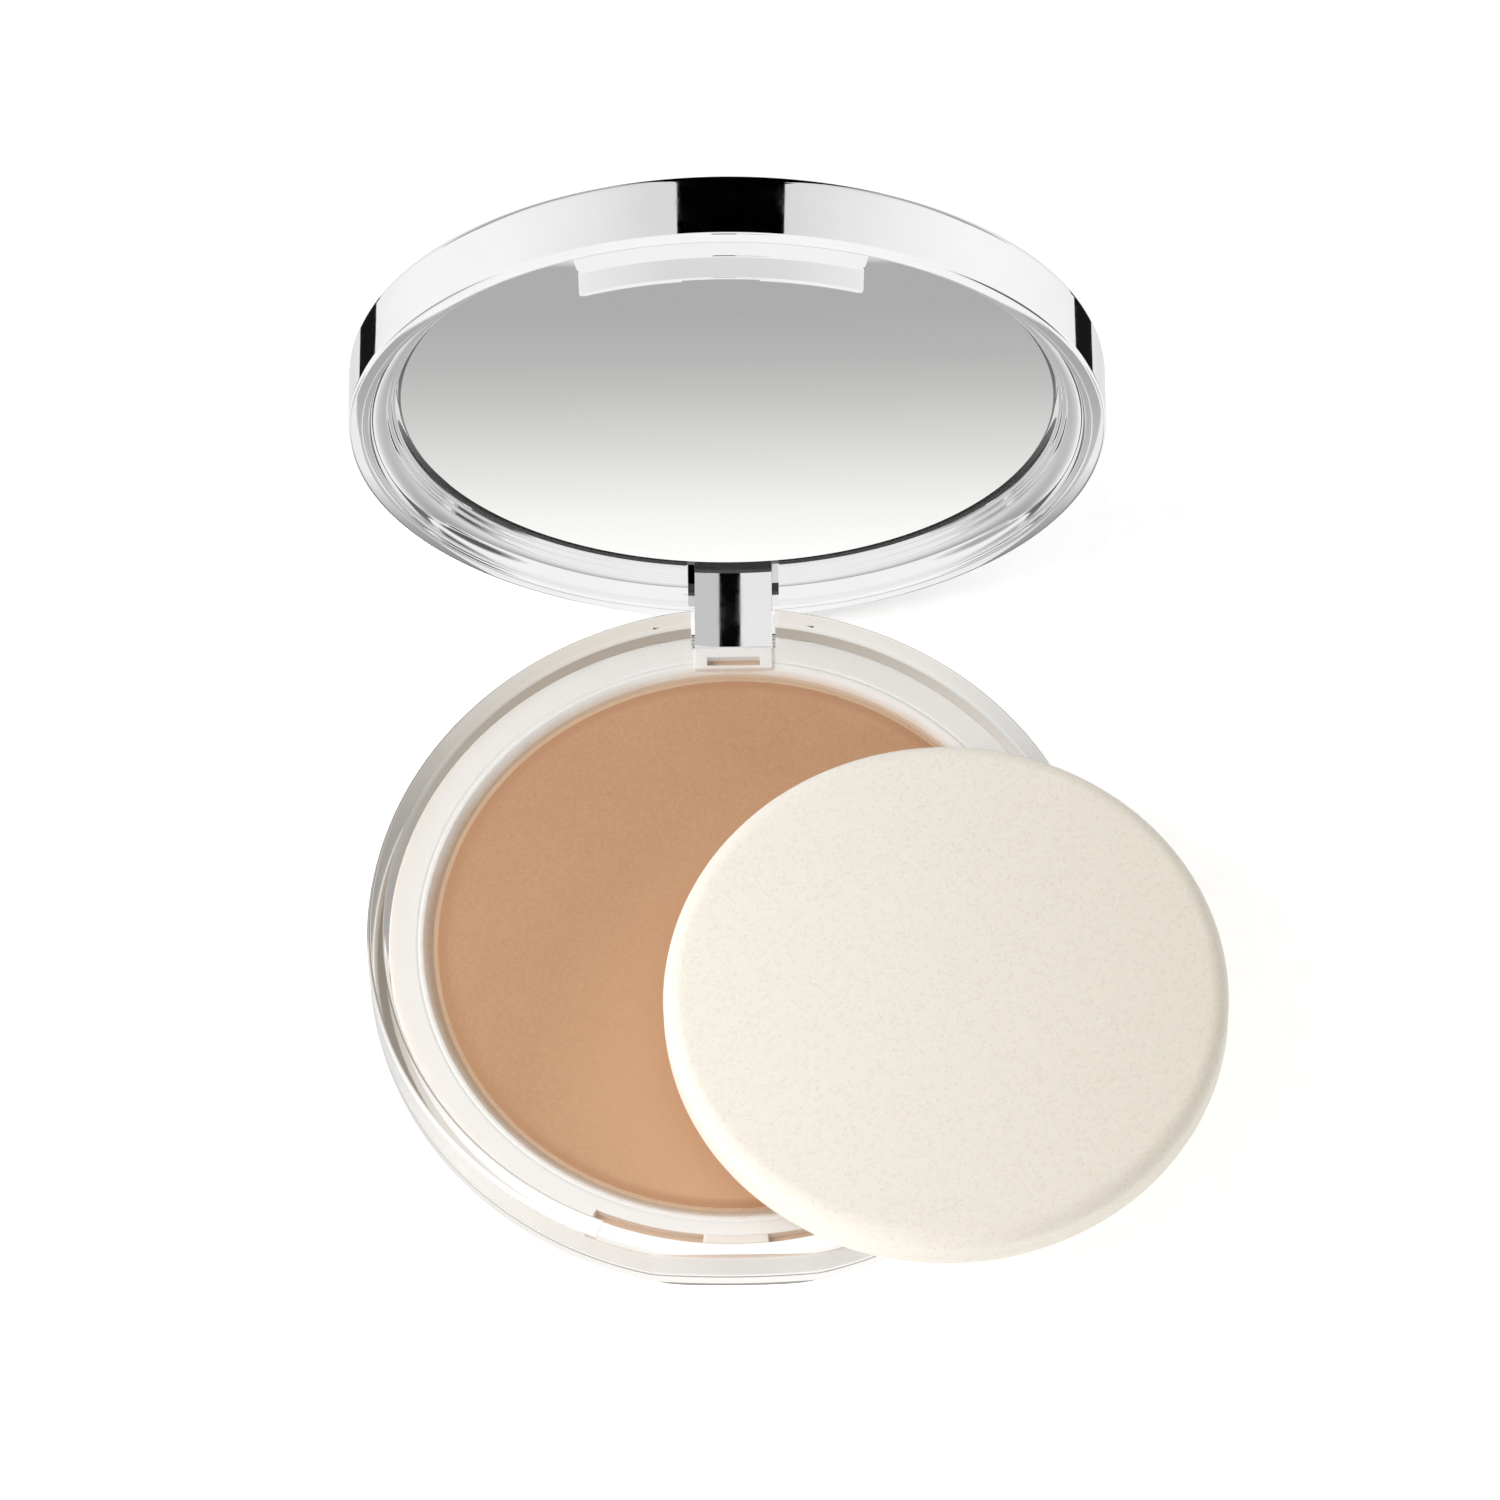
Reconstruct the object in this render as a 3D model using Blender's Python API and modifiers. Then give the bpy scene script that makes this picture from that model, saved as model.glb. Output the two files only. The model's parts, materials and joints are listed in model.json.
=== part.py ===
"""Round pressed-powder compact, open, with its foam sponge laid across the rim.

Metres, +Z up. The origin is the centre of the flat underside of the base. The hinge is
at +Y and the thumb flat at -Y. The lid is described shut, about its hinge axis, and an
empty on that axis holds it open.
"""

import math

import bmesh
import bpy
from mathutils import Matrix, Vector

MM = 0.001
FULL_TURN = 2 * math.pi

# Driving sizes, in millimetres.
BASE_RADIUS = 37.0
BASE_HEIGHT = 8.0
BASE_WALL = 2.0
FLOOR = 1.2
FOOT_RADIUS = 1.5
THUMB_FLAT_DEPTH = 0.87
LIP_STEP_DEPTH = 0.35
LIP_STEP_HALF_ANGLE = math.radians(22.0)

TRAY_TOP = 6.0
TRAY_RADIUS = 34.85
TRAY_SKIN = 0.8
TRAY_FLANGE = 0.65
TRAY_FOOT = 1.4
WELL_RADIUS = 30.3
WELL_CHAMFER = 1.1

PAN_RADIUS = 30.0
PAN_WALL = 0.4
PAN_BASE = 1.55
PAN_TOP = 5.0
POWDER_GAP = 0.12
POWDER_TOP = 4.95

HINGE_Y = 35.25
HINGE_Z = 4.2
BARREL_RADIUS = 1.65
PIN_RADIUS = 0.6
PIN_HALF_LENGTH = 9.0
PIN_HOLE_RADIUS = 0.66
ARM_HALF_WIDTH = 3.95
ARM_NOSE_RADIUS = 0.35
KNUCKLE_HALF_WIDTH = 4.3
KNUCKLE_OUTER = 8.6
KNUCKLE_FRONT = 33.5
HINGE_NOTCH_FLOOR = 2.0
WINDOW_Y = 31.65
WINDOW_HALF = (2.7, 0.5)

LID_RADIUS = 37.8
LID_HEIGHT = 7.5
LID_WALL = 1.6
LID_TOP_SKIN = 1.2
LID_EDGE_RADIUS = 1.2
LID_GAP = 0.2
LID_OPEN_ANGLE = math.radians(90.0)

FRAME_GAP = 0.2
FRAME_PLATE_FRONT = 5.2
FRAME_PLATE_BACK = 6.0
MIRROR_RADIUS = 32.85
MIRROR_DEPTH = 3.66
MIRROR_THICKNESS = 1.3
MIRROR_SEAT_RADIUS = 33.1

CATCH_OUTER = 34.8
CATCH_THICKNESS = 0.8
CATCH_LENGTH = 2.9
CATCH_HALF_ANGLE = math.radians(23.6)
CATCH_SLOT_INNER = 33.6
CATCH_SLOT_FLOOR = 4.9
CATCH_SLOT_HALF_ANGLE = math.radians(24.6)
CATCH_LUG_RADIUS = 34.3
CATCH_LUG_HALF_ANGLE = math.radians(5.5)

SPONGE_RADIUS = 28.25
SPONGE_THICKNESS = 6.0
SPONGE_EDGE = 1.6
SPONGE_CENTRE = (21.15, -10.4)
SPONGE_REST_GAP = 0.15

# Facets round a full turn.
RING_STEPS = 60
PIN_STEPS = 16
FILLET_STEPS = 3
FRONT = -math.pi / 2


def clear_scene():
    """Empties the scene and the data it leaves behind."""
    for obj in list(bpy.data.objects):
        bpy.data.objects.remove(obj, do_unlink=True)


def new_collection(name):
    """A collection linked to the scene."""
    group = bpy.data.collections.new(name)
    bpy.context.scene.collection.children.link(group)
    return group


def plain_material(name, colour, roughness, metallic=0.0, transmission=0.0):
    """A Principled material of one colour."""
    material = bpy.data.materials.new(name)
    material.use_nodes = True
    shader = material.node_tree.nodes["Principled BSDF"]
    shader.inputs["Base Color"].default_value = (*colour, 1.0)
    shader.inputs["Roughness"].default_value = roughness
    shader.inputs["Metallic"].default_value = metallic
    shader.inputs["Transmission Weight"].default_value = transmission
    material.diffuse_color = (*colour, 1.0)
    return material


def add_object(name, mesh, group, parent=None, place=(0.0, 0.0, 0.0)):
    """Links a mesh as an object, placed in millimetres from its parent."""
    obj = bpy.data.objects.new(name, mesh)
    group.objects.link(obj)
    obj.parent = parent
    obj.location = Vector(place) * MM
    return obj


def finish(obj, material):
    """Gives a piece its material and smooth shading with sharp edges kept."""
    obj.data.materials.append(material)
    obj.data.shade_smooth()
    obj.data.set_sharp_from_angle(angle=math.radians(30))
    return obj


def fillet(centre, radius, start, end, steps=FILLET_STEPS):
    """Profile points on an arc about a centre, angles in degrees."""
    turn = [math.radians(start + (end - start) * i / steps) for i in range(steps + 1)]
    return [(centre[0] + radius * math.cos(a), centre[1] + radius * math.sin(a)) for a in turn]


def turned(name, profile, group, parent=None, place=(0.0, 0.0, 0.0), steps=RING_STEPS):
    """A profile of (radius, height) points in millimetres turned about Z.

    A profile that doesn't start on the axis is closed into a ring.
    """
    mesh = bpy.data.meshes.new(name)
    shape = bmesh.new()
    corners = [shape.verts.new((r * MM, 0.0, z * MM)) for r, z in profile]
    for first, second in zip(corners, corners[1:]):
        shape.edges.new((first, second))
    if profile[0][0] > 0.0:
        shape.edges.new((corners[-1], corners[0]))
    shape.to_mesh(mesh)
    shape.free()
    obj = add_object(name, mesh, group, parent, place)
    screw = obj.modifiers.new("turn", "SCREW")
    screw.axis = "Z"
    screw.angle = FULL_TURN
    screw.steps = steps
    screw.render_steps = steps
    screw.use_merge_vertices = True
    screw.merge_threshold = 0.00001
    return obj


def slab(name, outline, low, high, group, parent=None, place=(0.0, 0.0, 0.0), along="Z"):
    """A flat outline in millimetres given thickness from low to high along Z or X."""
    curve = bpy.data.curves.new(name, "CURVE")
    curve.dimensions = "2D"
    curve.fill_mode = "BOTH"
    curve.extrude = (high - low) / 2 * MM
    spline = curve.splines.new("POLY")
    spline.points.add(len(outline) - 1)
    for point, (u, v) in zip(spline.points, outline):
        point.co = (u * MM, v * MM, 0.0, 1.0)
    spline.use_cyclic_u = True
    drawn = bpy.data.objects.new(name + "_outline", curve)
    group.objects.link(drawn)
    bpy.context.view_layer.update()
    evaluated = drawn.evaluated_get(bpy.context.evaluated_depsgraph_get())
    mesh = bpy.data.meshes.new_from_object(evaluated)
    mesh.name = name
    bpy.data.objects.remove(drawn, do_unlink=True)
    centre = Matrix.Translation((0.0, 0.0, (low + high) / 2 * MM))
    turn = Matrix(((0, 0, 1, 0), (1, 0, 0, 0), (0, 1, 0, 0), (0, 0, 0, 1)))
    mesh.transform((turn if along == "X" else Matrix()) @ centre)
    shape = bmesh.new()
    shape.from_mesh(mesh)
    bmesh.ops.remove_doubles(shape, verts=shape.verts, dist=0.000001)
    bmesh.ops.recalc_face_normals(shape, faces=shape.faces)
    shape.to_mesh(mesh)
    shape.free()
    return add_object(name, mesh, group, parent, place)


def sector(inner, outer, half_angle, steps=10):
    """Outline of a ring sector centred on the front, between two radii."""
    turn = [FRONT - half_angle + 2 * half_angle * i / steps for i in range(steps + 1)]
    outside = [(outer * math.cos(a), outer * math.sin(a)) for a in turn]
    inside = [(inner * math.cos(a), inner * math.sin(a)) for a in reversed(turn)]
    return outside + inside


def box(name, low, high, group, parent=None):
    """A box between two corners, in millimetres from its parent."""
    mesh = bpy.data.meshes.new(name)
    shape = bmesh.new()
    bmesh.ops.create_cube(shape, size=1.0)
    size = [(b - a) * MM for a, b in zip(low, high)]
    bmesh.ops.scale(shape, vec=size, verts=shape.verts)
    shape.to_mesh(mesh)
    shape.free()
    middle = [(a + b) / 2 for a, b in zip(low, high)]
    return add_object(name, mesh, group, parent, middle)


def rod(name, radius, half_length, group, place, parent=None):
    """A round rod along X."""
    mesh = bpy.data.meshes.new(name)
    shape = bmesh.new()
    bmesh.ops.create_cone(
        shape,
        cap_ends=True,
        segments=PIN_STEPS,
        radius1=radius * MM,
        radius2=radius * MM,
        depth=2 * half_length * MM,
        matrix=Matrix.Rotation(math.pi / 2, 4, "Y"),
    )
    shape.to_mesh(mesh)
    shape.free()
    return add_object(name, mesh, group, parent, place)


def combine(obj, tool, operation):
    """Adds a Boolean with a hidden helper."""
    change = obj.modifiers.new(tool.name, "BOOLEAN")
    change.operation = operation
    change.solver = "EXACT"
    change.object = tool
    tool.hide_render = True
    tool.display_type = "WIRE"


def cut(obj, tool):
    """Takes a helper's shape away from a piece."""
    combine(obj, tool, "DIFFERENCE")


def join(obj, tool):
    """Adds a helper's shape to a piece."""
    combine(obj, tool, "UNION")


def build_base_shell(parts, helpers):
    """Clear outer cup with thumb flat, hinge notch and the two pin knuckles inside it."""
    inner = BASE_RADIUS - BASE_WALL
    profile = [(0.0, FLOOR), (inner, FLOOR)]
    profile += fillet((inner + 0.4, BASE_HEIGHT - 0.4), 0.4, 180, 90, 2)
    profile += fillet((BASE_RADIUS - 0.4, BASE_HEIGHT - 0.4), 0.4, 90, 0, 2)
    profile += fillet((BASE_RADIUS - FOOT_RADIUS, FOOT_RADIUS), FOOT_RADIUS, 0, -90)
    profile += [(0.0, 0.0)]
    shell = turned("base_shell", profile, parts)
    for side, name in ((-1, "left"), (1, "right")):
        across = sorted((side * (KNUCKLE_HALF_WIDTH - 0.2), side * KNUCKLE_OUTER))
        low = (across[0], KNUCKLE_FRONT, FLOOR - 0.2)
        high = (across[1], HINGE_Y + 0.35, TRAY_TOP - TRAY_FLANGE - 0.2)
        join(shell, box("knuckle_" + name, low, high, helpers))
    half = KNUCKLE_HALF_WIDTH
    notch_low = (-half, KNUCKLE_FRONT - 0.5, HINGE_NOTCH_FLOOR)
    cut(shell, box("hinge_notch", notch_low, (half, BASE_RADIUS + 2, BASE_HEIGHT + 1), helpers))
    cut(shell, rod("pin_bore", PIN_HOLE_RADIUS, 14.0, helpers, (0.0, HINGE_Y, HINGE_Z)))
    flat_y = -(BASE_RADIUS - THUMB_FLAT_DEPTH)
    cut(shell, box("thumb_flat", (-12, flat_y - 5, -1), (12, flat_y, BASE_HEIGHT + 1), helpers))
    lip = sector(inner - 1, BASE_RADIUS + 1, LIP_STEP_HALF_ANGLE, 8)
    step_low = BASE_HEIGHT - LIP_STEP_DEPTH
    cut(shell, slab("lip_step", lip, step_low, BASE_HEIGHT + 1, helpers))
    return finish(shell, plain_material("clear_plastic", (0.86, 0.83, 0.80), 0.08, 0.0, 0.8))


def build_pan_frame(parts, helpers):
    """White inner tray: a channel-shaped ring with the catch slot in front."""
    skin = TRAY_SKIN
    under = TRAY_TOP - TRAY_FLANGE
    profile = [
        (TRAY_RADIUS, TRAY_TOP),
        (TRAY_RADIUS, TRAY_FOOT),
        (TRAY_RADIUS - skin, TRAY_FOOT),
        (TRAY_RADIUS - skin, under),
        (WELL_RADIUS + skin, under),
        (WELL_RADIUS + skin, TRAY_FOOT),
        (WELL_RADIUS, TRAY_FOOT),
        (WELL_RADIUS, TRAY_TOP - WELL_CHAMFER),
        (WELL_RADIUS + WELL_CHAMFER, TRAY_TOP),
    ]
    tray = turned("pan_frame", profile, parts)
    wide = CATCH_SLOT_HALF_ANGLE + math.radians(2.0)
    bed = sector(CATCH_SLOT_INNER - skin, TRAY_RADIUS - 0.1, wide)
    join(tray, slab("slot_bed", bed, CATCH_SLOT_FLOOR - 0.7, TRAY_TOP - 0.2, helpers))
    slot = sector(CATCH_SLOT_INNER, TRAY_RADIUS + 1, CATCH_SLOT_HALF_ANGLE)
    cut(tray, slab("catch_slot", slot, CATCH_SLOT_FLOOR, TRAY_TOP + 1, helpers))
    lug = sector(CATCH_SLOT_INNER - 0.4, CATCH_LUG_RADIUS, CATCH_LUG_HALF_ANGLE, 3)
    join(tray, slab("catch_lug", lug, CATCH_SLOT_FLOOR - 0.3, TRAY_TOP - 0.1, helpers))
    front = WINDOW_Y - 0.85
    join(tray, box("window_frame", (-4.0, front, TRAY_TOP - 0.8), (4.0, 33.2, TRAY_TOP + 0.25), helpers))
    across, deep = WINDOW_HALF
    low = (-across, WINDOW_Y - deep, under - 1)
    cut(tray, box("window", low, (across, WINDOW_Y + deep, TRAY_TOP + 1), helpers))
    pocket_front = KNUCKLE_FRONT - 0.4
    half = KNUCKLE_HALF_WIDTH
    cut(tray, box("barrel_pocket", (-half, pocket_front, 1.0), (half, 36.0, TRAY_TOP + 1), helpers))
    relief = KNUCKLE_OUTER + 0.4
    cut(tray, box("knuckle_relief", (-relief, 33.0, 1.0), (relief, 36.0, under), helpers))
    return finish(tray, plain_material("white_plastic", (0.90, 0.90, 0.88), 0.35))


def build_pan(parts):
    """Aluminium godet that the powder is pressed into."""
    inner = PAN_RADIUS - PAN_WALL
    profile = [(0.0, PAN_BASE + PAN_WALL), (inner, PAN_BASE + PAN_WALL), (inner, PAN_TOP)]
    profile += [(PAN_RADIUS, PAN_TOP)]
    profile += fillet((PAN_RADIUS - 0.7, PAN_BASE + 0.7), 0.7, 0, -90, 2)
    profile += [(0.0, PAN_BASE)]
    pan = turned("powder_pan", profile, parts)
    return finish(pan, plain_material("aluminium", (0.80, 0.80, 0.80), 0.35, 1.0))


def build_powder(parts):
    """Pressed cake with a softened edge."""
    radius = PAN_RADIUS - PAN_WALL - POWDER_GAP
    floor = PAN_BASE + PAN_WALL + 0.05
    profile = [(0.0, POWDER_TOP)]
    profile += fillet((radius - 0.3, POWDER_TOP - 0.3), 0.3, 90, 0, 2)
    profile += [(radius, floor), (0.0, floor)]
    cake = turned("powder_cake", profile, parts)
    return finish(cake, plain_material("pressed_powder", (0.55, 0.32, 0.18), 0.9))


def build_pad(name, radius, low, high, parts, colour, parent=None, place=(0.0, 0.0, 0.0)):
    """Thin disc of adhesive or glass between two heights."""
    profile = [(0.0, high), (radius, high), (radius, low), (0.0, low)]
    pad = turned(name, profile, parts, parent, place, 40)
    return finish(pad, plain_material(name + "_finish", colour, 0.5))


def build_pin(parts):
    """Steel hinge pin through both knuckles and the lid's arm."""
    pin = rod("hinge_pin", PIN_RADIUS, PIN_HALF_LENGTH, parts, (0.0, HINGE_Y, HINGE_Z))
    return finish(pin, plain_material("steel", (0.62, 0.61, 0.60), 0.25, 1.0))


def build_lid_shell(parts, hinge, rim_place):
    """Metallised outer cover, an upside-down cup with a rounded back edge."""
    edge = LID_EDGE_RADIUS
    inner = LID_RADIUS - LID_WALL
    profile = [(0.0, LID_HEIGHT)]
    profile += fillet((LID_RADIUS - edge, LID_HEIGHT - edge), edge, 90, 0)
    profile += fillet((LID_RADIUS - 0.4, 0.4), 0.4, 0, -90, 2)
    profile += fillet((inner + 0.4, 0.4), 0.4, -90, -180, 2)
    profile += [(inner, LID_HEIGHT - LID_TOP_SKIN), (0.0, LID_HEIGHT - LID_TOP_SKIN)]
    shell = turned("lid_shell", profile, parts, hinge, rim_place)
    return finish(shell, plain_material("metallised_plastic", (0.90, 0.90, 0.91), 0.06, 1.0))


def arm_outline():
    """Side view of the hinge arm about its axis: Y across, Z up, with the lid shut."""
    rim = BASE_HEIGHT + LID_GAP - HINGE_Z
    barrel = BARREL_RADIUS
    back = 0.35
    top = rim + FRAME_PLATE_FRONT + 0.4
    nose = ARM_NOSE_RADIUS
    under = fillet((nose - barrel, nose - barrel), nose, 180, 270, 2)
    under += fillet((0.0, 0.0), barrel, -90, 0, 5)
    return [(-barrel, top), *under, (barrel, rim - 0.2), (back, rim - 0.2), (back, top)]


def build_mirror_frame(parts, helpers, hinge, rim_place):
    """Stepped mirror bezel, hinge arm and catch tab, moulded as one piece."""
    outer = LID_RADIUS - LID_WALL - FRAME_GAP
    cove_centre = (34.2, 0.45)
    cove = fillet(cove_centre, 1.5, 8, 82)
    profile = [(0.0, FRAME_PLATE_BACK), (outer, FRAME_PLATE_BACK), (outer, 0.7)]
    profile += cove
    profile += [(33.9, 2.1), (33.9, 2.5), (33.5, 2.5), (33.5, 2.95), (MIRROR_SEAT_RADIUS, 2.95)]
    profile += [(MIRROR_SEAT_RADIUS, FRAME_PLATE_FRONT), (0.0, FRAME_PLATE_FRONT)]
    frame = turned("mirror_frame", profile, parts, hinge, rim_place)
    rim_y, rim_z = rim_place[1], rim_place[2]
    slot_half = ARM_HALF_WIDTH + 0.7
    low = (-slot_half, rim_y + 31.5, rim_z - 1)
    high = (slot_half, rim_y + outer + 1, rim_z + FRAME_PLATE_FRONT)
    cut(frame, box("arm_slot", low, high, helpers, hinge))
    half = ARM_HALF_WIDTH
    join(frame, slab("hinge_arm", arm_outline(), -half, half, helpers, hinge, along="X"))
    cut(frame, rod("arm_bore", PIN_HOLE_RADIUS, half + 2, helpers, (0.0, 0.0, 0.0), hinge))
    catch_inner = CATCH_OUTER - CATCH_THICKNESS
    tab = sector(catch_inner, CATCH_OUTER, CATCH_HALF_ANGLE)
    join(frame, slab("catch_tab", tab, -CATCH_LENGTH, 3.0, helpers, hinge, rim_place))
    relief = sector(catch_inner - 0.5, CATCH_LUG_RADIUS + 0.1, CATCH_LUG_HALF_ANGLE * 1.15, 3)
    cut(frame, slab("lug_relief", relief, -CATCH_LENGTH - 1, -0.4, helpers, hinge, rim_place))
    return finish(frame, plain_material("metallised_bezel", (0.88, 0.88, 0.89), 0.10, 1.0))


def build_sponge(parts):
    """Round latex foam applicator lying flat on the rim of the base."""
    edge = SPONGE_EDGE
    half = SPONGE_THICKNESS / 2
    profile = [(0.0, half)]
    profile += fillet((SPONGE_RADIUS - edge, half - edge), edge, 90, 0)
    profile += fillet((SPONGE_RADIUS - edge, edge - half), edge, 0, -90)
    profile += [(0.0, -half)]
    centre_z = BASE_HEIGHT + SPONGE_REST_GAP + half
    sponge = turned("sponge", profile, parts, None, (*SPONGE_CENTRE, centre_z), 48)
    return finish(sponge, plain_material("latex_foam", (0.87, 0.83, 0.74), 0.95))


def build_lid(parts, helpers):
    """Everything that swings on the hinge axis."""
    hinge = bpy.data.objects.new("lid_hinge_axis", None)
    parts.objects.link(hinge)
    hinge.location = (0.0, HINGE_Y * MM, HINGE_Z * MM)
    hinge.rotation_euler = (-LID_OPEN_ANGLE, 0.0, 0.0)
    rim_place = (0.0, -HINGE_Y, BASE_HEIGHT + LID_GAP - HINGE_Z)
    build_lid_shell(parts, hinge, rim_place)
    build_mirror_frame(parts, helpers, hinge, rim_place)
    back = MIRROR_DEPTH + MIRROR_THICKNESS
    silver = (0.85, 0.86, 0.87)
    build_pad("mirror", MIRROR_RADIUS, MIRROR_DEPTH, back, parts, silver, hinge, rim_place)
    pad = (0.80, 0.80, 0.78)
    low, high = back + 0.05, FRAME_PLATE_FRONT - 0.05
    build_pad("mirror_adhesive", 27.0, low, high, parts, pad, hinge, rim_place)


def main():
    """Builds the compact, piece by piece."""
    clear_scene()
    parts = new_collection("powder_compact")
    helpers = new_collection("cutters")
    build_base_shell(parts, helpers)
    build_pan_frame(parts, helpers)
    build_pan(parts)
    build_powder(parts)
    build_pad("pan_adhesive", 12.0, FLOOR + 0.05, PAN_BASE - 0.05, parts, (0.75, 0.72, 0.62))
    build_pin(parts)
    build_lid(parts, helpers)
    build_sponge(parts)


main()
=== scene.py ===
"""Looks of a round pressed-powder compact that stands open with its sponge on the rim.

Lengths are in millimetres until they reach a mesh or a node, which are in metres. The lid's
own frame has its rim plane at 0, its depth along +Z and the hinge side at +Y, as when shut.
"""

from __future__ import annotations

import json
import logging
import math
from collections.abc import Sequence
from dataclasses import dataclass
from enum import Enum

import bmesh
import bpy
from mathutils import Matrix, Vector, noise

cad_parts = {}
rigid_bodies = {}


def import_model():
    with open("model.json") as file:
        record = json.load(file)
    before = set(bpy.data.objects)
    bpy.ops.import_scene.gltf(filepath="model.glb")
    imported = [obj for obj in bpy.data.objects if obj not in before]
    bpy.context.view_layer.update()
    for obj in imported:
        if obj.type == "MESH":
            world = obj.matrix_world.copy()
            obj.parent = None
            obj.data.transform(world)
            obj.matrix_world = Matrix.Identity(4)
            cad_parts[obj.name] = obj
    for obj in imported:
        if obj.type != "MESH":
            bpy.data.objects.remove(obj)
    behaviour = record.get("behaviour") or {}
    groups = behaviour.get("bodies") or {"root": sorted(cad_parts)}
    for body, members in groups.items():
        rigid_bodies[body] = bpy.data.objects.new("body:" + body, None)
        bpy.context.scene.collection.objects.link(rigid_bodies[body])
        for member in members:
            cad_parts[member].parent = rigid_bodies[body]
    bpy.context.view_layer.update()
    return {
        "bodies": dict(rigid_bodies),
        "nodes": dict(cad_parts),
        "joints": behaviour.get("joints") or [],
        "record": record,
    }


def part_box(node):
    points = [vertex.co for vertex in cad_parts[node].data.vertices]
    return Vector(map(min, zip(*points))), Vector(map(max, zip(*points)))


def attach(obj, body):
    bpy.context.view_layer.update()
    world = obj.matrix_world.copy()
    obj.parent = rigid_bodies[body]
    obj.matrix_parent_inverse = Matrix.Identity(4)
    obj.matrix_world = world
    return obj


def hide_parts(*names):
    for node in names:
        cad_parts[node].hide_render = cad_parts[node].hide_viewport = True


Piece = bpy.types.Object
Shape = bmesh.types.BMesh
Socket = bpy.types.NodeSocket
Inputs = dict[int | str, object]
Point = tuple[float, float]
Triple = tuple[float, float, float]
Stops = tuple[tuple[float, str], ...]

LOG = logging.getLogger("compact")
MM = 0.001
FULL_TURN = 2 * math.pi
FRONT = -math.pi / 2
# Points nearer than this, in metres, are one point.
WELD = 1e-7
# Edges sharper than this stay sharp in the shading.
SHARP = math.radians(32)
# How far a cutting tool reaches past what it cuts.
PAST = 1.0
# Facets round the pin's bores.
BORE_FACETS = 24
SHADER = "Principled BSDF"
# Only these pieces are seen in reflections; the others would crowd the small mirror.
SEEN_IN_MIRROR = ("looking_glass", "mirror_glue")


class Body(Enum):
    """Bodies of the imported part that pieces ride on."""

    BASE = "base"
    LID = "lid"
    SPONGE = "sponge"


class Join(Enum):
    """Ways of putting two solids together."""

    CUT = "DIFFERENCE"
    ADD = "UNION"


class Sight(Enum):
    """Which rays a stage piece shows itself to."""

    REFLECTED = "glossy"
    REFRACTED = "transmission"


# ---------------------------------------------------------------- shader graphs


def srgb(code: str) -> tuple[float, float, float, float]:
    """Turns an sRGB hex colour to linear RGBA.

    Args:
        code: Six hex digits, such as "C49876".

    Returns:
        Linear red, green and blue with an alpha of 1.
    """
    channels = [int(code[i : i + 2], 16) / 255 for i in (0, 2, 4)]
    linear = [c / 12.92 if c <= 0.04045 else ((c + 0.055) / 1.055) ** 2.4 for c in channels]
    return (*linear, 1.0)


def metres(lengths: Sequence[float]) -> tuple[float, ...]:
    """Turns millimetres to metres."""
    return tuple(length * MM for length in lengths)


def grain(place: Socket, size: float, detail: float = 3.0) -> Inputs:
    """Inputs that give noise features of a real size.

    Args:
        place: Coordinates to read.
        size: Size of one feature in millimetres.
        detail: Octaves of finer noise.

    Returns:
        Inputs of a noise texture.
    """
    return {"Vector": place, "Scale": 1.0 / (size * MM), "Detail": detail, "Roughness": 0.6}


@dataclass(frozen=True)
class Graph:
    """A node tree with the one way of adding to it."""

    tree: bpy.types.NodeTree

    def feed(self, name: str, inputs: Inputs) -> None:
        """Sets or links a node's inputs.

        Args:
            name: Name of the node.
            inputs: Values, hex colours or sockets by the input's name or number.
        """
        node = self.tree.nodes[name]
        for key, value in inputs.items():
            if isinstance(value, bpy.types.NodeSocket):
                self.tree.links.new(value, node.inputs[key])
            else:
                node.inputs[key].default_value = srgb(value) if isinstance(value, str) else value

    def add(
        self,
        kind: str,
        inputs: Sequence[object] | Inputs = (),
        out: int | str = 0,
        stops: Stops = (),
        **settings: object,
    ) -> Socket:
        """Adds a node with its settings and links.

        Args:
            kind: Node type without its "ShaderNode".
            inputs: Values, hex colours or sockets, in the node's order or by name or number.
            out: Name or number of the output that is given back.
            stops: Positions and hex colours of a colour ramp, in rising order.
            **settings: The node's own properties.

        Returns:
            One output of the new node.
        """
        node = self.tree.nodes.new("ShaderNode" + kind)
        for key, value in settings.items():
            setattr(node, key, value)
        if stops:
            elements = node.color_ramp.elements
            while len(elements) < len(stops):
                elements.new(0.5)
            for element, (position, code) in zip(elements, stops):
                element.position = position
                element.color = srgb(code)
        self.feed(node.name, inputs if isinstance(inputs, dict) else dict(enumerate(inputs)))
        return node.outputs[out]


# ---------------------------------------------------------------- finishes


@dataclass(frozen=True)
class Finish:
    """A surface finish: the shader's own values, then what its pattern feeds."""

    name: str
    colour: str
    roughness: float
    metallic: float = 0.0
    ior: float = 1.5
    transmission: float = 0.0

    def build(self) -> bpy.types.Material:
        """Makes the material.

        Returns:
            A node material with its pattern in place.
        """
        material = bpy.data.materials.new(self.name)
        material.use_nodes = True
        graph = Graph(material.node_tree)
        values = {
            "Base Color": self.colour,
            "Roughness": self.roughness,
            "Metallic": self.metallic,
            "Transmission Weight": self.transmission,
        }
        if self.metallic == 0.0:
            values["IOR"] = self.ior
        graph.feed(SHADER, values)
        graph.feed(SHADER, self.pattern(graph, graph.add("TexCoord", out="Object")))
        return material

    def pattern(self, graph: Graph, place: Socket) -> Inputs:
        """Builds the finish's pattern; a subclass fills this in.

        Args:
            graph: Graph of the material.
            place: Object coordinates.

        Returns:
            What it feeds the shader.
        """
        return {}


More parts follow.
